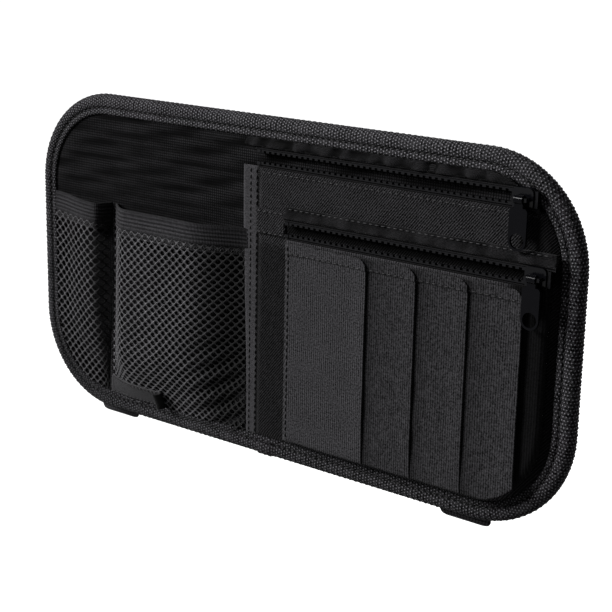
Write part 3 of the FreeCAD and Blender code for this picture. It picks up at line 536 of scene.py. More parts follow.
# ---- edge binding
def rim_run(step):
    """Points and outward directions round the outer rim, from the middle of the bottom, and the lengths there."""
    wide, high = STRAIGHT_WIDE, STRAIGHT_HIGH
    quarter = CORNER * math.pi / 2
    total = 4 * (wide + high + quarter)
    s = np.arange(round(total / step)) * total / round(total / step)
    px, pz, nx, nz = (np.zeros_like(s) for _ in range(4))
    start = 0.0
    runs = (("line", wide, (0, -HALF_HIGH), (1, 0)), ("arc", quarter, (wide, -high), -90),
            ("line", 2 * high, (HALF_WIDE, -high), (0, 1)), ("arc", quarter, (wide, high), 0),
            ("line", 2 * wide, (wide, HALF_HIGH), (-1, 0)), ("arc", quarter, (-wide, high), 90),
            ("line", 2 * high, (-HALF_WIDE, high), (0, -1)), ("arc", quarter, (-wide, -high), 180),
            ("line", wide, (-wide, -HALF_HIGH), (1, 0)))
    for kind, length, base, turn in runs:
        here = (s >= start - 1e-9) & (s < start + length)
        t = s[here] - start
        if kind == "line":
            px[here], pz[here] = base[0] + turn[0] * t, base[1] + turn[1] * t
            nx[here], nz[here] = turn[1], -turn[0]
        else:
            angle = np.radians(turn) + t / CORNER
            nx[here], nz[here] = np.cos(angle), np.sin(angle)
            px[here], pz[here] = base[0] + CORNER * np.cos(angle), base[1] + CORNER * np.sin(angle)
        start += length
    return s, px, pz, nx, nz


SEAM_AT = 6.3                # how far inside the rim the binding is sewn, front and back
TUFT_PITCH = 3.1             # of the slow swelling along the binding
LAP_LONG = 9.0               # the piece of its end that lies over its start


def make_binding():
    """The tape folded round the rim, as a section of places (inside the rim, y) carried along it."""
    s, px, pz, nx, nz = rim_run(RIB_PITCH / 4)
    skin = [(9.50, -5.55), (9.25, -5.88), (8.70, -6.05), (7.90, -6.10), (7.10, -5.98), (6.62, -5.58),
            (SEAM_AT, -5.30), (5.98, -5.58), (5.50, -6.02), (4.60, -6.28), (3.60, -6.34), (2.60, -6.18),
            (1.60, -5.72), (0.80, -4.90), (0.25, -3.80), (0.05, -2.50), (0.25, -1.20), (0.80, -0.20),
            (1.60, 0.50), (2.60, 0.85), (4.20, 1.02), (5.90, 0.80), (SEAM_AT, 0.66),
            (6.70, 0.80), (7.60, 0.98), (8.80, 0.92), (9.45, 0.62)]
    inner_side = [(9.50, 0.06), (1.85, 0.03), (1.85, -5.03), (9.50, -5.07)]
    u, y = np.array(skin + inner_side).T
    du, dy = np.gradient(u[:len(skin)]), np.gradient(y[:len(skin)])
    size = np.hypot(du, dy)
    out_u, out_y, carries = np.zeros((3, len(u)))
    out_u[:len(skin)], out_y[:len(skin)] = dy / size, -du / size
    if out_y[3] > 0:
        out_u, out_y = -out_u, -out_y
    carries[:len(skin)] = 1.0
    carries[:2] = carries[len(skin) - 1] = 0.5
    total = s[-1] + s[1]
    rib_count, tuft_count = round(total / RIB_PITCH), round(total / TUFT_PITCH)
    rib = 0.17 * np.cos(2 * math.pi / total * rib_count * s)
    puff = 0.10 * np.cos(2 * math.pi * s / (total / tuft_count))
    angle = s / total * 2 * math.pi
    uneven = 0.16 * creases(np.cos(angle) * 40, np.sin(angle) * 40, 17.0, 3)
    lap_start = total - LAP_LONG
    lap = np.where(s >= lap_start, 0.55 * (1 - ease((s - lap_start - 6.0) / 3.0)), 0.0)
    by_seam = np.abs(u - SEAM_AT) > 1.2
    grow = (rib[:, None] + puff[:, None] * by_seam + lap[:, None]) * carries
    inner = np.clip((u - 6.0) / 3.5, 0.0, 1.0)
    depth_in = u + out_u * grow + (uneven[:, None] + 0.05) * inner * carries
    rings = np.stack([px[:, None] - nx[:, None] * depth_in, y + out_y * grow, pz[:, None] - nz[:, None] * depth_in],
                     axis=-1)
    along = path_lengths(u, y)
    # Painted shade: dark in the seam's groove and along the inner edge, and darker on the rim's lower and side faces,
    # which turn away from the light.
    groove_shade = 0.88 * np.exp(-((u - SEAM_AT) / 0.42) ** 2) + 0.6 * ease((u - 8.7) / 0.8)
    away = 0.40 * np.clip(-nz, 0.0, 1.0) + 0.24 * np.abs(nx)
    shade = groove_shade + away[:, None] * (1.0 - groove_shade)
    ribbed = s[:, None] * RIB_PITCH / (total / rib_count)
    cloth = np.stack(np.broadcast_arrays(ribbed, along, shade), axis=-1)
    made = swept("binding_tape", rings, cloth, "binding", closed_path=True, replaced=("edge_binding",),
                 slot="binding_tape")
    for y_seam, way in ((-5.36, FORWARD), (0.72, BACKWARD)):
        path = np.stack([px - nx * SEAM_AT, np.full_like(px, y_seam), pz - nz * SEAM_AT], axis=1)
        stitch_line(path, way, radius=0.26, lift=0.0)


# ---- panel layers
def make_layers():
    fine_x, fine_z = lines(-151, 151, 1.6), lines(-77.5, 77.5, 1.6)

    def pulled_folds(x, z):
        """Fine folds that run along X, pulled in by the seam above them."""
        return creases(x * 0.22, z + x * 0.05, 5.2, 14) * (0.35 + 0.65 * ease((z - 20.0) / 30.0))

    # Painted shade: darker in the hollows of the folds, and a little darker all over.
    def fold_shade(x, z):
        return np.clip(0.35 - 0.75 * pulled_folds(x, z), 0.0, 0.9)

    def front(x, z):
        pull = ease(rim_room(x, z, BAND) / 9.0)
        return FACE - 0.02 - 0.34 * pull - 0.20 * pull * creases(x * 0.6, z * 1.6, 27.0, 11) \
            - 0.16 * pull * pulled_folds(x, z)

    made = cloth_patch("front_cloth", fine_x, fine_z, front, "lining", ("front_lining",), inset=TUCKED,
                       slot="panel_fabric", shade=fold_shade)
    wide, high = 2 * (HALF_WIDE - TUCKED), 2 * (HALF_HIGH - TUCKED)
    back_face = box_mm("back_cover")[1][1]

    def back(x, z):
        return back_face - 0.04 + 0.03 * ease(rim_room(x, z, BAND) / 6.0) * creases(x, z, 38.0, 12)

    made = cloth_patch("back_cloth", fine_x, fine_z, back, "cover", ("back_cover",), inset=TUCKED, offset=1.0,
                       slot="panel_fabric")
    low, high = box_mm("foam_pad")
    inset = HALF_WIDE - high[0]

    def foam_front(x, z):
        return low[1] + 0.18 * (1 - ease(rim_room(x, z, inset) / 5.0)) + 0.05 * (1 + creases(x, z, 14.0, 13))

    foam = cloth_patch("foam_core", lines(low[0], high[0], 3.0), lines(low[2], high[2], 3.0), foam_front, "foam",
                       ("foam_pad",), inset=inset, thickness=high[1] - low[1] - 0.3, slot="foam")


# ---- net pockets
NET_BOTTOM, NET_TOP = (corner[2] for corner in box_mm("phone_pocket_mesh"))
ELASTIC_TOP = box_mm("phone_pocket_elastic")[1][2]
DIVIDER_AT = -102.0          # X of the seam between the two nets
LEAN = 3.4                   # how far that seam's foot is drawn to the left
SEAM_WIDER = 0.45            # how much wider the tape over the middle seam gets towards its top


def lean(x, z):
    """How far the nets and their divider are drawn to the left, most at the divider's foot."""
    near = np.clip(1.0 - np.abs(x - DIVIDER_AT) / 36.0, 0.0, 1.0)
    return -LEAN * near * np.clip((ELASTIC_TOP - z) / 97.0, 0.0, 1.0)


class Pocket:
    """A net pocket between its left and right edges. A kind of pocket says how deep it is and where painted shade
    darkens its net.
    """

    def __init__(self, name, spare):
        low, high = box_mm(name + "_pocket_mesh")
        self.name, self.left, self.right = name, low[0], high[0]
        self.deep = FACE - low[1] - spare

    def shaded(self, x, z, shades):
        """The yarn's painted shade and highlights, with the pocket's painted shade over them."""
        return 1.0 - (1.0 - shades) * (1.0 - self.dark(x, z))


class PhonePocket(Pocket):
    """The wide net: it stands off at its left seam, runs level and falls away towards its right seam."""

    def left_at(self, z):
        return np.full_like(z, self.left)

    def fold(self, x, z):
        """Pulled folds that run down to the lower right corner: how strong, and their wave."""
        pulled = ease((x + 58.0) / 32.0) * ease((-18.0 - z) / 34.0)
        return pulled, np.sin((z * 0.9 - (x + 60.0) * 0.42) * 2 * math.pi / 9.0)

    def dark(self, x, z):
        """Painted shade: darker near the seam on the right and between the pulled folds."""
        pulled, wave = self.fold(x, z)
        return np.minimum(0.93 * ease((x - self.right + 36.0) / 28.0) + 0.25 * pulled * (1.0 - wave), 0.96)

    def depth(self, x, z):
        z = np.minimum(z, ELASTIC_TOP)
        rise = ease((x - self.left) / 15.0) ** 0.6
        fall = ease((self.right - x) / 30.0) ** 0.8
        foot = 0.06 + 0.94 * ease((z - NET_BOTTOM) / 27.0) ** 0.7
        pulled, wave = self.fold(x, z)
        folds = 0.95 * pulled * wave * ease((self.right - x) / 6.0)
        flat = 1.0 - 0.10 * ease((x - self.left - 20.0) / 60.0) - 0.35 * pulled
        return 0.5 + self.deep * rise * fall * foot * flat + folds + 0.25 * rise * fall * creases(x, z, 26.0, 21)


class CablePocket(Pocket):
    """The narrow net: it leaves the binding gently, is deepest near the divider and falls steeply to it."""

    def left_at(self, z):
        radius = CORNER - BAND
        below = np.clip(-STRAIGHT_HIGH - z, 0.0, radius)
        return -STRAIGHT_WIDE - np.sqrt(radius ** 2 - below ** 2)

    def dark(self, x, z):
        """Painted shade on the steep side by the divider, over a net that is a little darker all over."""
        return 0.24 + 0.68 * ease((x - self.right + 10.5) / 11.0)

    def depth(self, x, z):
        z = np.minimum(z, ELASTIC_TOP)
        left = self.left_at(z)
        share = np.clip((x - left) / np.maximum(self.right - left, 2.0), 0.0, 1.0)
        arch = ease(share / 0.90) ** 0.85 * ease((1.0 - share) / 0.11) ** 0.5
        foot = ease((z - NET_BOTTOM + 2.0) / 60.0) ** 0.8
        return 0.45 + self.deep * arch * foot + 0.2 * arch * creases(x, z, 22.0, 22)


PHONE, CABLE = PhonePocket("phone", 0.9), CablePocket("cable", 4.6)


def net_surface(pocket, x, z, lift=0.0):
    """Points on a pocket's net, raised off it by lift, and the directions away from it."""
    step = 0.2
    slope_x = (pocket.depth(x + step, z) - pocket.depth(x - step, z)) / (2 * step)
    slope_z = (pocket.depth(x, z + step) - pocket.depth(x, z - step)) / (2 * step)
    out = np.stack([-slope_x, -np.ones_like(x), -slope_z], axis=-1)
    out /= np.linalg.norm(out, axis=-1, keepdims=True)
    points = np.stack([x + lean(x, z), FACE - pocket.depth(x, z), z], axis=-1)
    return points + out * np.asarray(lift)[..., None], out


def along_pocket(pocket, z, extra=0.0):
    """The pocket's X places against the length of cloth from its left edge, at one height."""
    x = np.linspace(float(pocket.left_at(np.array([z]))[0]) - extra, pocket.right, 400)
    return path_lengths(x, pocket.depth(x, np.full_like(x, z))), x


def make_net(pocket, cell_wide, cell_high, yarn, replaced=(), name="_net", material="net", behind=0.0, start=0.0):
    """A knitted lattice of pointed holes: each cell is a rim of yarn round a rounded hole.

    A layer behind another is set half a cell off it, and starts at some distance from the left edge.
    """
    moved = cell_wide / 2 if behind else 0.0
    gone, table = along_pocket(pocket, -5.0, 3.0)
    gone_left = gone[0]
    columns, rows = int(gone[-1] / cell_wide * 2) + 2, int((NET_TOP - NET_BOTTOM) / cell_high * 2) + 2
    inner_wide = 1.0 - yarn / cell_wide * 1.35
    inner_high = 1.0 - yarn / cell_high * 1.35
    points, lifts, shades, faces, known = [], [], [], [], {}

    def corner(i, j, raised):
        key = (i, j)
        if key not in known:
            known[key] = len(points)
            points.append((i * cell_wide / 4, j * cell_high / 4))
            lifts.append(raised)
            # Painted highlight: a negative shade lightens the raised crossings of the yarn.
            shades.append(-0.9 if raised else 0.0)
        return known[key]

    for row in range(rows):
        for column in range(row % 2, columns, 2):
            i, j = column * 2, row * 2
            u, v = i * cell_wide / 4, j * cell_high / 4
            x, z = np.interp(u + moved, gone, table), NET_BOTTOM + v
            left = float(pocket.left_at(np.array([z]))[0])
            if z > NET_TOP + 1.0 or x > pocket.right - 0.2 or x < left - 0.8 + start:
                continue
            outer = [corner(i + a, j + b, 0.30 if a * b == 0 else 0.0)
                     for a, b in ((2, 0), (1, 1), (0, 2), (-1, 1), (-2, 0), (-1, -1), (0, -2), (1, -1))]
            first = len(points)
            for k in range(8):
                angle = k * math.pi / 4
                reach = 1.0 if k % 2 == 0 else 0.80
                points.append((u + cell_wide / 2 * inner_wide * reach * math.cos(angle),
                               v + cell_high / 2 * inner_high * reach * math.sin(angle)))
                lifts.append(-0.12)
                # Painted shade round the rim of each hole.
                shades.append(0.35)
            faces += [(outer[k], outer[(k + 1) % 8], first + (k + 1) % 8, first + k) for k in range(8)]
    flat = np.array(points)
    x = np.interp(flat[:, 0] + moved, gone - gone_left, table)
    z = np.minimum(NET_BOTTOM + flat[:, 1], NET_TOP + 2.0)
    z = z + 0.35 * creases(x, z, 30.0, 5)
    placed, _ = net_surface(pocket, x, z, np.array(lifts) - behind)
    cloth = np.stack([flat[:, 0], flat[:, 1], pocket.shaded(x, z, np.array(shades))], axis=1)
    made = piece(pocket.name + name, placed, faces, material, replaced, cloth=cloth, thickness=0.75, offset=0.0,
                 smooth_levels=1, slot="air_mesh")


def make_elastic(pocket):
    """The elastic band that edges a net: five raised cords with a thin sewn edge below them."""
    z0, z1 = NET_TOP, ELASTIC_TOP
    gone, table = along_pocket(pocket, z0, 0.0)
    u = np.arange(-0.5, gone[-1] + 0.8, 0.7)
    x = np.interp(u, gone, table)
    heights = np.concatenate([lines(z0 - 3.6, z0, 0.6), lines(z0 + 0.15, z1, 0.27)])
    share = (heights - z0) / (z1 - z0)
    cord = np.abs(np.sin(share * 5.0 * math.pi))
    cords = np.where(share > 0.0, 0.55 + 0.34 * cord ** 0.7, 0.30)
    cords = np.where(share > 0.985, 0.35, cords)
    gx, gz = np.meshgrid(x, heights, indexing="ij")
    gather = np.clip(share, 0.0, 1.0)[None, :]
    crimp = 0.05 * np.sin(u * 2 * math.pi / 1.5)[:, None] * (share > 0)[None, :]
    points, _ = net_surface(pocket, gx, gz, np.broadcast_to(cords[None, :], gx.shape) + crimp)
    points[..., 1] += (FACE - points[..., 1]) * 0.10 * gather
    points[..., 2] += 0.35 * gather * creases(gx, gx * 0, 45.0, 31)
    # Painted shade in the grooves between the cords; the thin sewn edge below them is darker too. The pocket's
    # painted shade, at 0.6 strength, lies over it.
    shade = np.where(share > 0.0, 0.95 * (1.0 - cord ** 0.5), 0.35)
    dark = 1.0 - (1.0 - shade[None, :]) * (1.0 - 0.6 * pocket.shaded(gx, gz, 0.0))
    cloth = np.stack(np.broadcast_arrays(u[:, None], gz, dark), axis=-1)
    made = piece(pocket.name + "_elastic", points.reshape(-1, 3), grid_faces(*gx.shape), "elastic",
                 (pocket.name + "_pocket_elastic",), cloth=cloth.reshape(-1, 3), thickness=0.8,
                 slot="elastic_band")
    turns = np.arange(0.6, gone[-1] - 0.6, 1.3)
    zigzag = np.interp(turns, gone, table)
    seam, out = net_surface(pocket, zigzag, z0 - 1.9 + 0.8 * (-1.0) ** np.arange(len(turns)),
                            np.full_like(zigzag, 0.33))
    stitch_line(seam, out, pitch=2.06, length=1.7, radius=0.14)


def strip(name, low, high, front, material, replaced, thickness, step=0.7, **more):
    """A flat sewn strip between two corners, whose front swells a little between its edges."""
    def height(x, z):
        turned_in = 0.30 * (1 - ease(edge_room(x, z, low, high) / 0.5))
        return front + turned_in - 0.06 * creases(x * 2.0, z, 11.0, 41)

    return cloth_patch(name, lines(low[0], high[0], step), lines(low[2], high[2], step), height, material, replaced,
                       thickness=thickness, **more)


def move_across(made, distance):
    """Moves each point of a piece along X by distance(x, z), in millimetres."""
    for vertex in made.data.vertices:
        vertex.co.x += float(distance(vertex.co.x / MM, vertex.co.z / MM)) * MM


def make_nets():
    make_net(PHONE, 4.4, 3.9, 0.92, ("phone_pocket_mesh",))
    make_net(PHONE, 4.4, 3.9, 0.95, name="_inner_net", material="inner_net", behind=1.1, start=15.0)
    make_net(CABLE, 5.6, 4.5, 0.92, ("cable_pocket_mesh",))
    make_elastic(PHONE)
    make_elastic(CABLE)
    low, high = box_mm("divider_tape")
    divider = strip("divider_strip", (low[0], 0, low[2] + 0.3), (high[0], 0, ELASTIC_TOP - 2.0), low[1] + 0.1,
                    "lining", ("divider_tape",), 0.6, slot="panel_fabric")
    move_across(divider, lean)
    zs = np.linspace(low[2] + 1.0, ELASTIC_TOP - 3.0, 60)
    stitch_front(DIVIDER_AT + lean(DIVIDER_AT, zs), low[1] + 0.04, zs)
    low, high = box_mm("centre_seam_tape")
    tape = strip("centre_seam", low, high, low[1] - 0.35, "seam", ("centre_seam_tape",), 0.9, slot="panel_fabric")
    move_across(tape, lambda x, z: (x - high[0]) * SEAM_WIDER * ease((z + 60.0) / 105.0))
    for x in (high[0] - 0.7, low[0] + 1.7):
        stitch_front(x, low[1] - 0.36, np.array([low[2] + 0.5, high[2] - 0.8]), pitch=2.9, length=2.1)


# ---- zip pockets and card slots
UPPER_FRONT = box_mm("upper_pocket_front")[0][1]
LOWER_FRONT = box_mm("lower_pocket_front")[0][1]
CARD_DROOP = 2.6             # how far a slot's free top corner hangs down


def hem(z, low, high, rise):
    """A doubled edge: how far it stands off, with a sewn line just above its lower side."""
    body = ease((z - low) / 0.5) * ease((high - z) / 0.5 + 0.4)
    sewn = np.exp(-((z - low - 1.0) / 0.35) ** 2)
    return rise * body - 0.25 * sewn * body


def make_upper_pocket():
    low, high = box_mm("upper_pocket_front")
    hem_low = high[2] - 2.9

    def upper(x, z):
        edge = np.minimum(x - low[0] + 0.4, rim_room(x, z, BAND) + 0.4)
        stand = ease(edge / 4.5) ** 0.7
        base = FACE - 0.75 + (UPPER_FRONT - FACE + 1.05) * stand
        return base - 0.16 * creases(x, z * 1.3, 27.0, 51) * stand - hem(z, hem_low, high[2], 0.28) * stand

    # Painted shade: towards the binding on the right, in the groove by the seam tape, on the recessed strip at the
    # lower left, and behind the lower zip's mouth.
    def shade(x, z):
        by_rim = 0.75 * ease((x - 118.0) / 14.0)
        by_seam = 0.97 * (1 - ease((x - low[0] - 0.5) / 1.6))
        by_strip = 0.55 * ease((9.5 - x) / 2.0) * ease((25.0 - z) / 5.0)
        in_mouth = 0.93 * ease((x - 6.5) / 2.0) * ease((z - 28.0) / 1.2) * ease((37.0 - z) / 1.2)
        return np.maximum(np.maximum(by_rim, by_seam), np.maximum(in_mouth, by_strip))

    xs = lines(low[0], high[0], 1.6, ((low[0], low[0] + 5, 0.6), (high[0] - 5, high[0], 0.6)))
    zs = lines(low[2], high[2], 1.6, ((low[2], low[2] + 5, 0.7), (hem_low - 0.4, high[2], 0.3)))
    made = cloth_patch("upper_pocket_cloth", xs, zs, upper, "pocket", ("upper_pocket_front",), inset=BAND,
                       slot="pocket_fabric", shade=shade)
    xs = np.linspace(low[0] + 3.0, high[0] - 10.0, 160)
    stitch_front(xs, upper(xs, hem_low + 1.0) - 0.02, hem_low + 1.0)


def make_lower_pocket():
    low, high = box_mm("lower_pocket_front")
    hem_low = high[2] - 2.6

    def lower(x, z):
        edge = np.minimum(np.minimum(x - low[0] + 0.3, rim_room(x, z, LOWER_BAND) + 0.4), z - low[2] + 0.4)
        stand = ease(edge / 3.2) ** 0.7
        base = UPPER_FRONT - 0.55 + (LOWER_FRONT - UPPER_FRONT + 0.75) * stand
        return base - 0.12 * creases(x, z * 1.2, 23.0, 52) * stand - hem(z, hem_low, high[2], 0.22) * stand

    # Painted shade on the pocket's right side, towards the binding.
    def shade(x, z):
        return 0.94 * ease((x - 118.0) / 9.0)

    xs = lines(low[0], high[0], 1.4, ((low[0], low[0] + 4, 0.5), (high[0] - 4, high[0], 0.5)))
    zs = lines(low[2], high[2], 1.4, ((low[2], low[2] + 4, 0.6), (hem_low - 0.4, high[2], 0.3)))
    made = cloth_patch("lower_pocket_cloth", xs, zs, lower, "panel", ("lower_pocket_front",), inset=LOWER_BAND,
                       slot="pocket_fabric", shade=shade)
    zs = np.linspace(low[2] + 2.0, high[2] - 1.0, 120)
    stitch_front(low[0] + 1.1, lower(low[0] + 1.1, zs) - 0.02, zs, radius=0.28)


def make_zip_end():
    low, high = box_mm("zip_end_tab")
    made = strip("zip_end_cloth", low, high, low[1] - 0.1, "pocket", ("zip_end_tab",), 0.6, step=0.5,
                 slot="pocket_fabric")
    y = low[1] - 0.14
    for z in (low[2] + 1.0, high[2] - 1.0):
        stitch_front(np.array([low[0] + 0.5, high[0] - 0.5]), y, z)
    stitch_front(high[0] - 0.9, y, np.array([low[2] + 1, high[2] - 1]))


def make_card_panel(number):
    """One slanted slot: sewn down at its left and below, free at its right edge, with a doubled top edge."""
    node = "card_slot_panel_%d" % number
    low, high = box_mm(node)
    wide = high[0] - low[0]
    slope = (LOWER_FRONT - low[1] - 1.5) / wide
    hem_low = high[2] - 5.2

    def height(x, z):
        t = x - low[0]
        lifted = 0.55 * ease((t - wide + 9.0) / 9.0) * ease((z - low[2]) / 18.0)
        doubled = 0.55 * ease((z - hem_low) / 0.5)
        bottom = 0.4 * (1 - ease((z - low[2]) / 3.0))
        base = high[1] - 0.75 - slope * t * 0.75
        return base - lifted - doubled + bottom - 0.12 * creases(x, z, 24.0, 60 + number)

    xs = lines(low[0], high[0], 1.1, ((high[0] - 2.0, high[0], 0.3),))
    zs = lines(low[2], high[2], 1.3, ((hem_low - 0.4, high[2], 0.28),))
    x, z = np.meshgrid(xs, zs, indexing="ij")
    droop = CARD_DROOP * np.clip((x - high[0] + 4.0) / 4.0, 0.0, 1.0) ** 2 * ease((z - hem_low) / 4.0)
    x2, z2, outside = inside_rim(x.ravel(), (z - droop).ravel(), LOWER_BAND)
    points = np.stack([x2, height(x2, z.ravel()), z2], axis=1)
    shade = np.zeros_like(x2)
    # Painted shadow: slots 2 to 4 are a little darker than the first, most of all just right of the edge of the slot
    # before, which lies in front.
    if number > 1:
        under = box_mm("card_slot_panel_%d" % (number - 1))[1][0]
        shade = 0.25 + 0.5 * np.exp(-np.maximum(x2 - under, 0.0) / 5.0)
    cloth = np.stack([x2, z2, shade], axis=1)
    faces = [f for f in grid_faces(len(xs), len(zs)) if not outside[list(f)].all()]
    made = piece("card_slot_cloth_%d" % number, points, faces, "panel", (node,), cloth=cloth, thickness=0.6,
                 slot="pocket_fabric")
    run = np.linspace(low[0] + 0.6, high[0] - 1.2, 50)
    stitch_front(run, height(run, hem_low + 0.9) - 0.02, hem_low + 0.9)
    if number == 1:
        run = np.linspace(low[2] + 1.5, high[2] - 1.0, 80)
        stitch_front(low[0] + 1.0, height(low[0] + 1.0, run) - 0.02, run)


# ---- zip tapes and the folded cloth over them
def zip_strip(name, node, section, material, wrinkle=0.0, slot="zip_tape"):
    """A strip along X whose front follows a section of (y, z) points, listed upwards."""
    low, high = box_mm(node)
    section_y, section_z = np.array(section).T
    gone = path_lengths(section_y, section_z)
    v = lines(0.0, gone[-1], 0.32)
    y, z = np.interp(v, gone, section_y), np.interp(v, gone, section_z)
    soft = np.convolve(np.pad(y, 2, mode="edge"), [0.1, 0.22, 0.36, 0.22, 0.1], mode="valid")
    xs = lines(low[0], high[0], 0.9)
    gx, gz = np.meshgrid(xs, z, indexing="ij")
    gy = np.broadcast_to(soft, gx.shape)
    share = np.sin(np.pi * np.clip(v / gone[-1], 0, 1))[None, :] ** 0.6
    folds = creases(gx, gz * 0.8 + gx * 0.3, 8.0, 71)
    # Painted shade in the hollows of the wrinkles, as strong as the wrinkles are deep.
    shade = np.clip(0.45 - 0.75 * folds, 0.0, 0.9) * min(wrinkle * 2.0, 1.0)
    gy = gy - wrinkle * share * folds - 0.04 * creases(gx, gz, 30.0, 72)
    x2, z2, outside = inside_rim(gx.ravel(), gz.ravel(), BAND - 0.2)
    faces = [f for f in grid_faces(*gx.shape) if not outside[list(f)].all()]
    cloth = np.stack([gx, np.broadcast_to(v, gx.shape), shade], axis=-1)
    piece(name, np.stack([x2, gy.ravel(), z2], axis=1), faces, material, (node,), cloth=cloth.reshape(-1, 3),
          thickness=0.5, slot=slot)


def make_zip_cloth():
    """Each tape has a flat part that carries its teeth and bends back to the cloth that it is sewn to."""
    for name, moved, bend in (("upper", 0.0, 4.0), ("lower", 0.02, 3.6)):
        low, high = box_mm(name + "_zip_back_tape")
        near, far = low[1] + moved, high[1] - 0.55
        zip_strip(name + "_back_tape_cloth", name + "_zip_back_tape",
                  [(near, low[2]), (near, low[2] + 1.6), (far, low[2] + bend), (far, high[2])], "zip_tape")
    for name in ("upper", "lower"):
        low, high = box_mm(name + "_zip_front_tape")
        near, far, sheet_top = low[1] + 0.04, high[1] - 0.55, box_mm(name + "_pocket_front")[1][2]
        zip_strip(name + "_front_tape_cloth", name + "_zip_front_tape",
                  [(far, low[2]), (far, sheet_top - 0.4), (near, sheet_top + 0.5), (near, high[2])], "zip_tape")
    for name, node, (lip, bend_y, bend_z, top), wrinkle in (
            ("top_facing_cloth", "top_facing", (1.2, 1.3, 2.7, 0.8), 1.1),
            ("lower_flap_cloth", "lower_zip_flap", (1.0, 0.75, 2.6, 0.62), 0.32)):
        low, high = box_mm(node)
        zip_strip(name, node,
                  [(low[1] + 0.55, low[2] + 0.35), (low[1] + 0.12, low[2]), (low[1], low[2] + 0.5),
                   (low[1] + 0.1, low[2] + lip), (high[1] - bend_y, low[2] + bend_z), (high[1] - top, high[2])],
                  "facing", wrinkle, "pocket_fabric")
    stitch_front(np.linspace(low[0] + 1.0, high[0] - 3.0, 40), high[1] - 0.66, high[2] - 0.8)


# ---- small patch on the net
def make_corner_patch():
    """A blank tab sewn over the net's lower corner, with its right end folded over."""
    left, width, bottom, height = -101.5, 33.0, -69.4, 8.6
    bend, folded = 1.9, 6.5      # radius of the fold, and the cloth beyond the flat part
    u = np.concatenate([np.arange(0, width, 0.8), width + np.linspace(0.3, folded, 12)])
    gu, gv = np.meshgrid(u, lines(0.0, height, 0.7), indexing="ij")
    points, _ = net_surface(PHONE, left + np.minimum(gu, width), bottom + gv, 0.95 + 0.12 * creases(gu, gv, 15.0, 81))
    turn = np.clip(gu - width, 0.0, folded) / bend
    points[..., 0] += bend * np.sin(np.minimum(turn, math.pi)) - np.clip(turn - math.pi, 0, 1) * 1.2
    points[..., 1] -= bend * (1 - np.cos(np.minimum(turn, math.pi)))
    # Painted shade on the folded end.
    cloth = np.stack([gu, gv, 0.9 * ease((gu - width + 0.5) / 1.5)], axis=-1)
    piece("corner_patch_cloth", points.reshape(-1, 3), grid_faces(*gu.shape), "patch", ("corner_patch",),
          cloth=cloth.reshape(-1, 3), thickness=0.5, slot="smooth_patch")
    run = np.arange(0.8, width - 0.5, 0.8)
    for level in (0.8, height - 0.8):
        line, out = net_surface(PHONE, left + run, np.full_like(run, bottom + level), np.full_like(run, 1.02))
        stitch_line(line, out, pitch=2.4, length=1.7, radius=0.2)


# ---- straps behind the panel
def rounded_path(corners, radii, step):
    """Points along straight runs whose corners are turned on soft curves."""
    corners = [np.array(c, dtype=float) for c in corners]
    points = [corners[0]]
    for before, here, after, radius in zip(corners, corners[1:], corners[2:], radii):
        a, b = before - here, after - here
        la, lb = np.linalg.norm(a), np.linalg.norm(b)
        half = math.acos(np.clip(np.dot(a, b) / (la * lb), -1, 1)) / 2
        cut = min(radius / math.tan(half), la * 0.49, lb * 0.49)
        start, end = here + a / la * cut, here + b / lb * cut
        for t in np.linspace(0, 1, 9):
            points.append((1 - t) ** 2 * start + 2 * t * (1 - t) * here + t ** 2 * end)
    points.append(corners[-1])
    columns = np.array(points).T
    gone = path_lengths(*columns)
    where = np.linspace(0, gone[-1], int(gone[-1] / step) + 1)
    return np.stack([np.interp(where, gone, column) for column in columns], axis=1), where


STRAP_THICK = 1.4


def webbing_rib(along, across):
    """The weave of webbing, from -1 to 1."""
    row, column = (2 * math.pi / pitch for pitch in WEBBING_PITCH)
    return np.cos(along * row) * np.sign(np.cos(across * column) + 0.01)


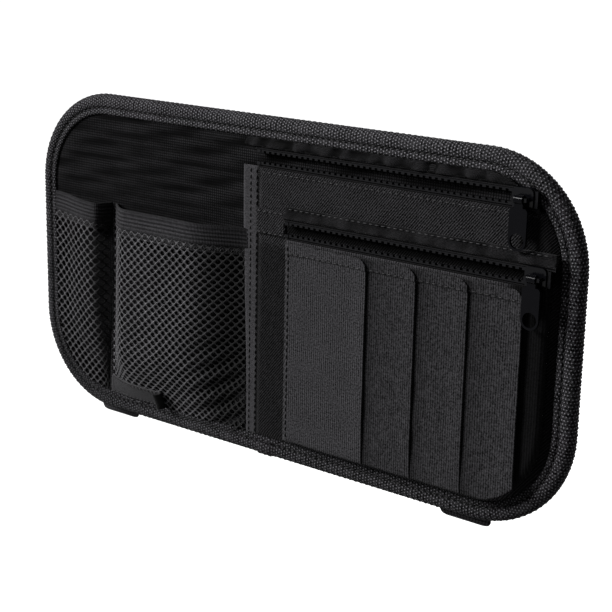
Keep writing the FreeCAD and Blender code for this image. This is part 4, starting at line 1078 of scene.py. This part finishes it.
def make_strap(side):
    """Webbing that hangs from its sewn top, bows round the visor and presses its hooks onto the loops."""
    low, high = box_mm(side + "_strap")
    middle, half = (low[0] + high[0]) / 2, (high[0] - low[0]) / 2
    near, bow = low[1] + STRAP_THICK / 2, high[1] - STRAP_THICK / 2
    seat = box_mm(side + "_hook_patch")[1][1] + STRAP_THICK / 2
    path, gone = rounded_path([(near, high[2]), (near, high[2] - 2.7), (bow, 39.5), (bow, -34.0), (seat, -46.0),
                               (seat, -71.0), (seat + 1.0, low[2] + 0.1)], [4.0, 11.0, 11.0, 11.0, 11.0], 0.33)
    along = np.gradient(path, axis=0)
    along /= np.linalg.norm(along, axis=1, keepdims=True)
    out = np.stack([-along[:, 1], along[:, 0]], axis=1)
    across = np.linspace(-1, 1, 33)
    left_over = np.minimum(gone[-1] - gone, 3.0)
    width = half - 3.0 + np.sqrt(np.maximum(9.0 - (3.0 - left_over) ** 2, 0.0))
    edge = np.sqrt(np.clip(1 - (np.abs(across) ** 14), 0, 1))
    weave = 0.5 + 0.5 * webbing_rib(gone[:, None], across * half)
    thin = np.clip(gone / 0.6, 0.5, 1.0) * np.clip((gone[-1] - gone) / 0.6, 0.4, 1.0)
    thick = (STRAP_THICK / 2 - 0.10 + 0.10 * weave) * edge * thin[:, None]
    bend = 0.25 * creases(gone, gone * 0, 60.0, 91) * ease(gone / 12.0) * ease((gone[-1] - gone) / 50.0)
    x = middle + across * width[:, None]
    front, back = (np.stack([x, path[:, :1] + bend[:, None] + way * out[:, :1] * thick,
                             path[:, 1:] + way * out[:, 1:] * thick], axis=-1) for way in (1, -1))
    rings = np.concatenate([front, back[:, -2:0:-1]], axis=1)
    round_it = np.concatenate([across * half, across[-2:0:-1] * half])
    cloth = np.stack(np.broadcast_arrays(gone[:, None], round_it, 0.0), axis=-1)
    body = body_of(nodes[side + "_strap"])[0]
    made = swept(side + "_strap_webbing", rings, cloth, "webbing", replaced=(side + "_strap",), body=body,
                 slot="webbing")
    hook_low, hook_high = box_mm(side + "_hook_patch")
    box_stitch(middle, half - 2.0, hook_low[2] + 1.2, hook_high[2] - 1.2, seat + STRAP_THICK / 2 + 0.03, body)
    return body


def box_stitch(middle, half, bottom, top, y, body="organiser", crossed=False):
    """A rectangle of stitches on the back, crossed from corner to corner where it carries the load."""
    a, b, c, d = ((middle - half, y, bottom), (middle + half, y, bottom), (middle + half, y, top),
                  (middle - half, y, top))
    for ends in [(a, b), (b, c), (c, d), (d, a)] + [(a, c), (b, d)] * crossed:
        stitch_line(ends, BACKWARD, body=body)


def pad_patch(name, node, material, slot, relief, body="organiser", step=0.45):
    """A small patch on the back: its outer face is at the node's far side, roughened by relief(x, z)."""
    low, high = box_mm(node)

    def height(x, z):
        return high[1] - 0.3 * (1 - ease(edge_room(x, z, low, high) / 0.9)) - relief(x, z)

    return cloth_patch(name, lines(low[0], high[0], step), lines(low[2], high[2], step), height, material, (node,),
                       thickness=high[1] - low[1] - 0.35, offset=1.0, body=body, slot=slot)


def make_straps():
    def pile(x, z):
        return 0.10 + 0.10 * creases(x * 3.0, z * 3.0, 5.0, 101) * np.sin(x * 5.1) * np.sin(z * 4.7)

    def hooks(x, z):
        return 0.28 - 0.28 * (np.maximum(np.sin(x * 2 * math.pi / 1.8) * np.sin(z * 2 * math.pi / 1.8), 0.0)) ** 0.5

    def webbing(x, z):
        return 0.05 + 0.05 * webbing_rib(z, x)

    for side in ("left", "right"):
        moving = make_strap(side)
        pad_patch(side + "_strap_anchor_webbing", side + "_strap_anchor", "webbing", "webbing", webbing, step=0.33)
        for name, node, material, relief, body, under in (
                ("_loop_pile", "_loop_patch", "loops", pile, "organiser", "back_cloth"),
                ("_hook_tape", "_hook_patch", "hooks", hooks, moving, side + "_strap_webbing")):
            made = pad_patch(side + name, side + node, material, "hook_and_loop", relief, body)
            low, high = box_mm(side + node)
        low, high = box_mm(side + "_strap_anchor")
        middle, half = (low[0] + high[0]) / 2, (high[0] - low[0]) / 2
        box_stitch(middle, half - 1.8, low[2] + 1.4, high[2] - 1.4, high[1] - 0.02, crossed=True)
        low, high = box_mm(side + "_loop_patch")
        box_stitch(middle, half - 1.2, low[2] + 1.0, high[2] - 1.0, high[1] - 0.12)


# ---- hard parts keep their CAD shape
def dress_nodes():
    """Hard parts are found by the ends of their names. Plain cloth goes on nodes that a piece replaces."""
    looks = {
        "teeth": hard("zip_teeth", (0.0014, 0.0014, 0.0016), 0.30, 0.0, 0.02, gloss=1.12),
        "slider": hard("slider_enamel", (0.0006, 0.0006, 0.0008), 0.11, 0.0, 0.006, gloss=1.16),
        "pull": hard("pull_enamel", (0.0007, 0.0007, 0.0009), 0.13, 0.0, 0.008, gloss=1.09),
        "stop": hard("stop_metal", (0.006, 0.006, 0.0065), 0.3, 1.0, 0.01),
        "board": hard("board_fibre", (0.16, 0.12, 0.08), 0.8, 0.0, 0.05),
    }
    hidden = hard("plain_cloth", (0.015, 0.015, 0.016), 0.9, 0.0, 0.03)
    for name, node in nodes.items():
        node.data.materials.clear()
        node.data.materials.append(next((look for part, look in looks.items() if name.endswith(part)), hidden))


# ---- make everything
make_layers()
make_binding()
make_nets()
make_upper_pocket()
make_lower_pocket()
make_zip_end()
for slot_number in (4, 3, 2, 1):
    make_card_panel(slot_number)
make_zip_cloth()
make_corner_patch()
make_straps()
sew_stitches()
dress_nodes()
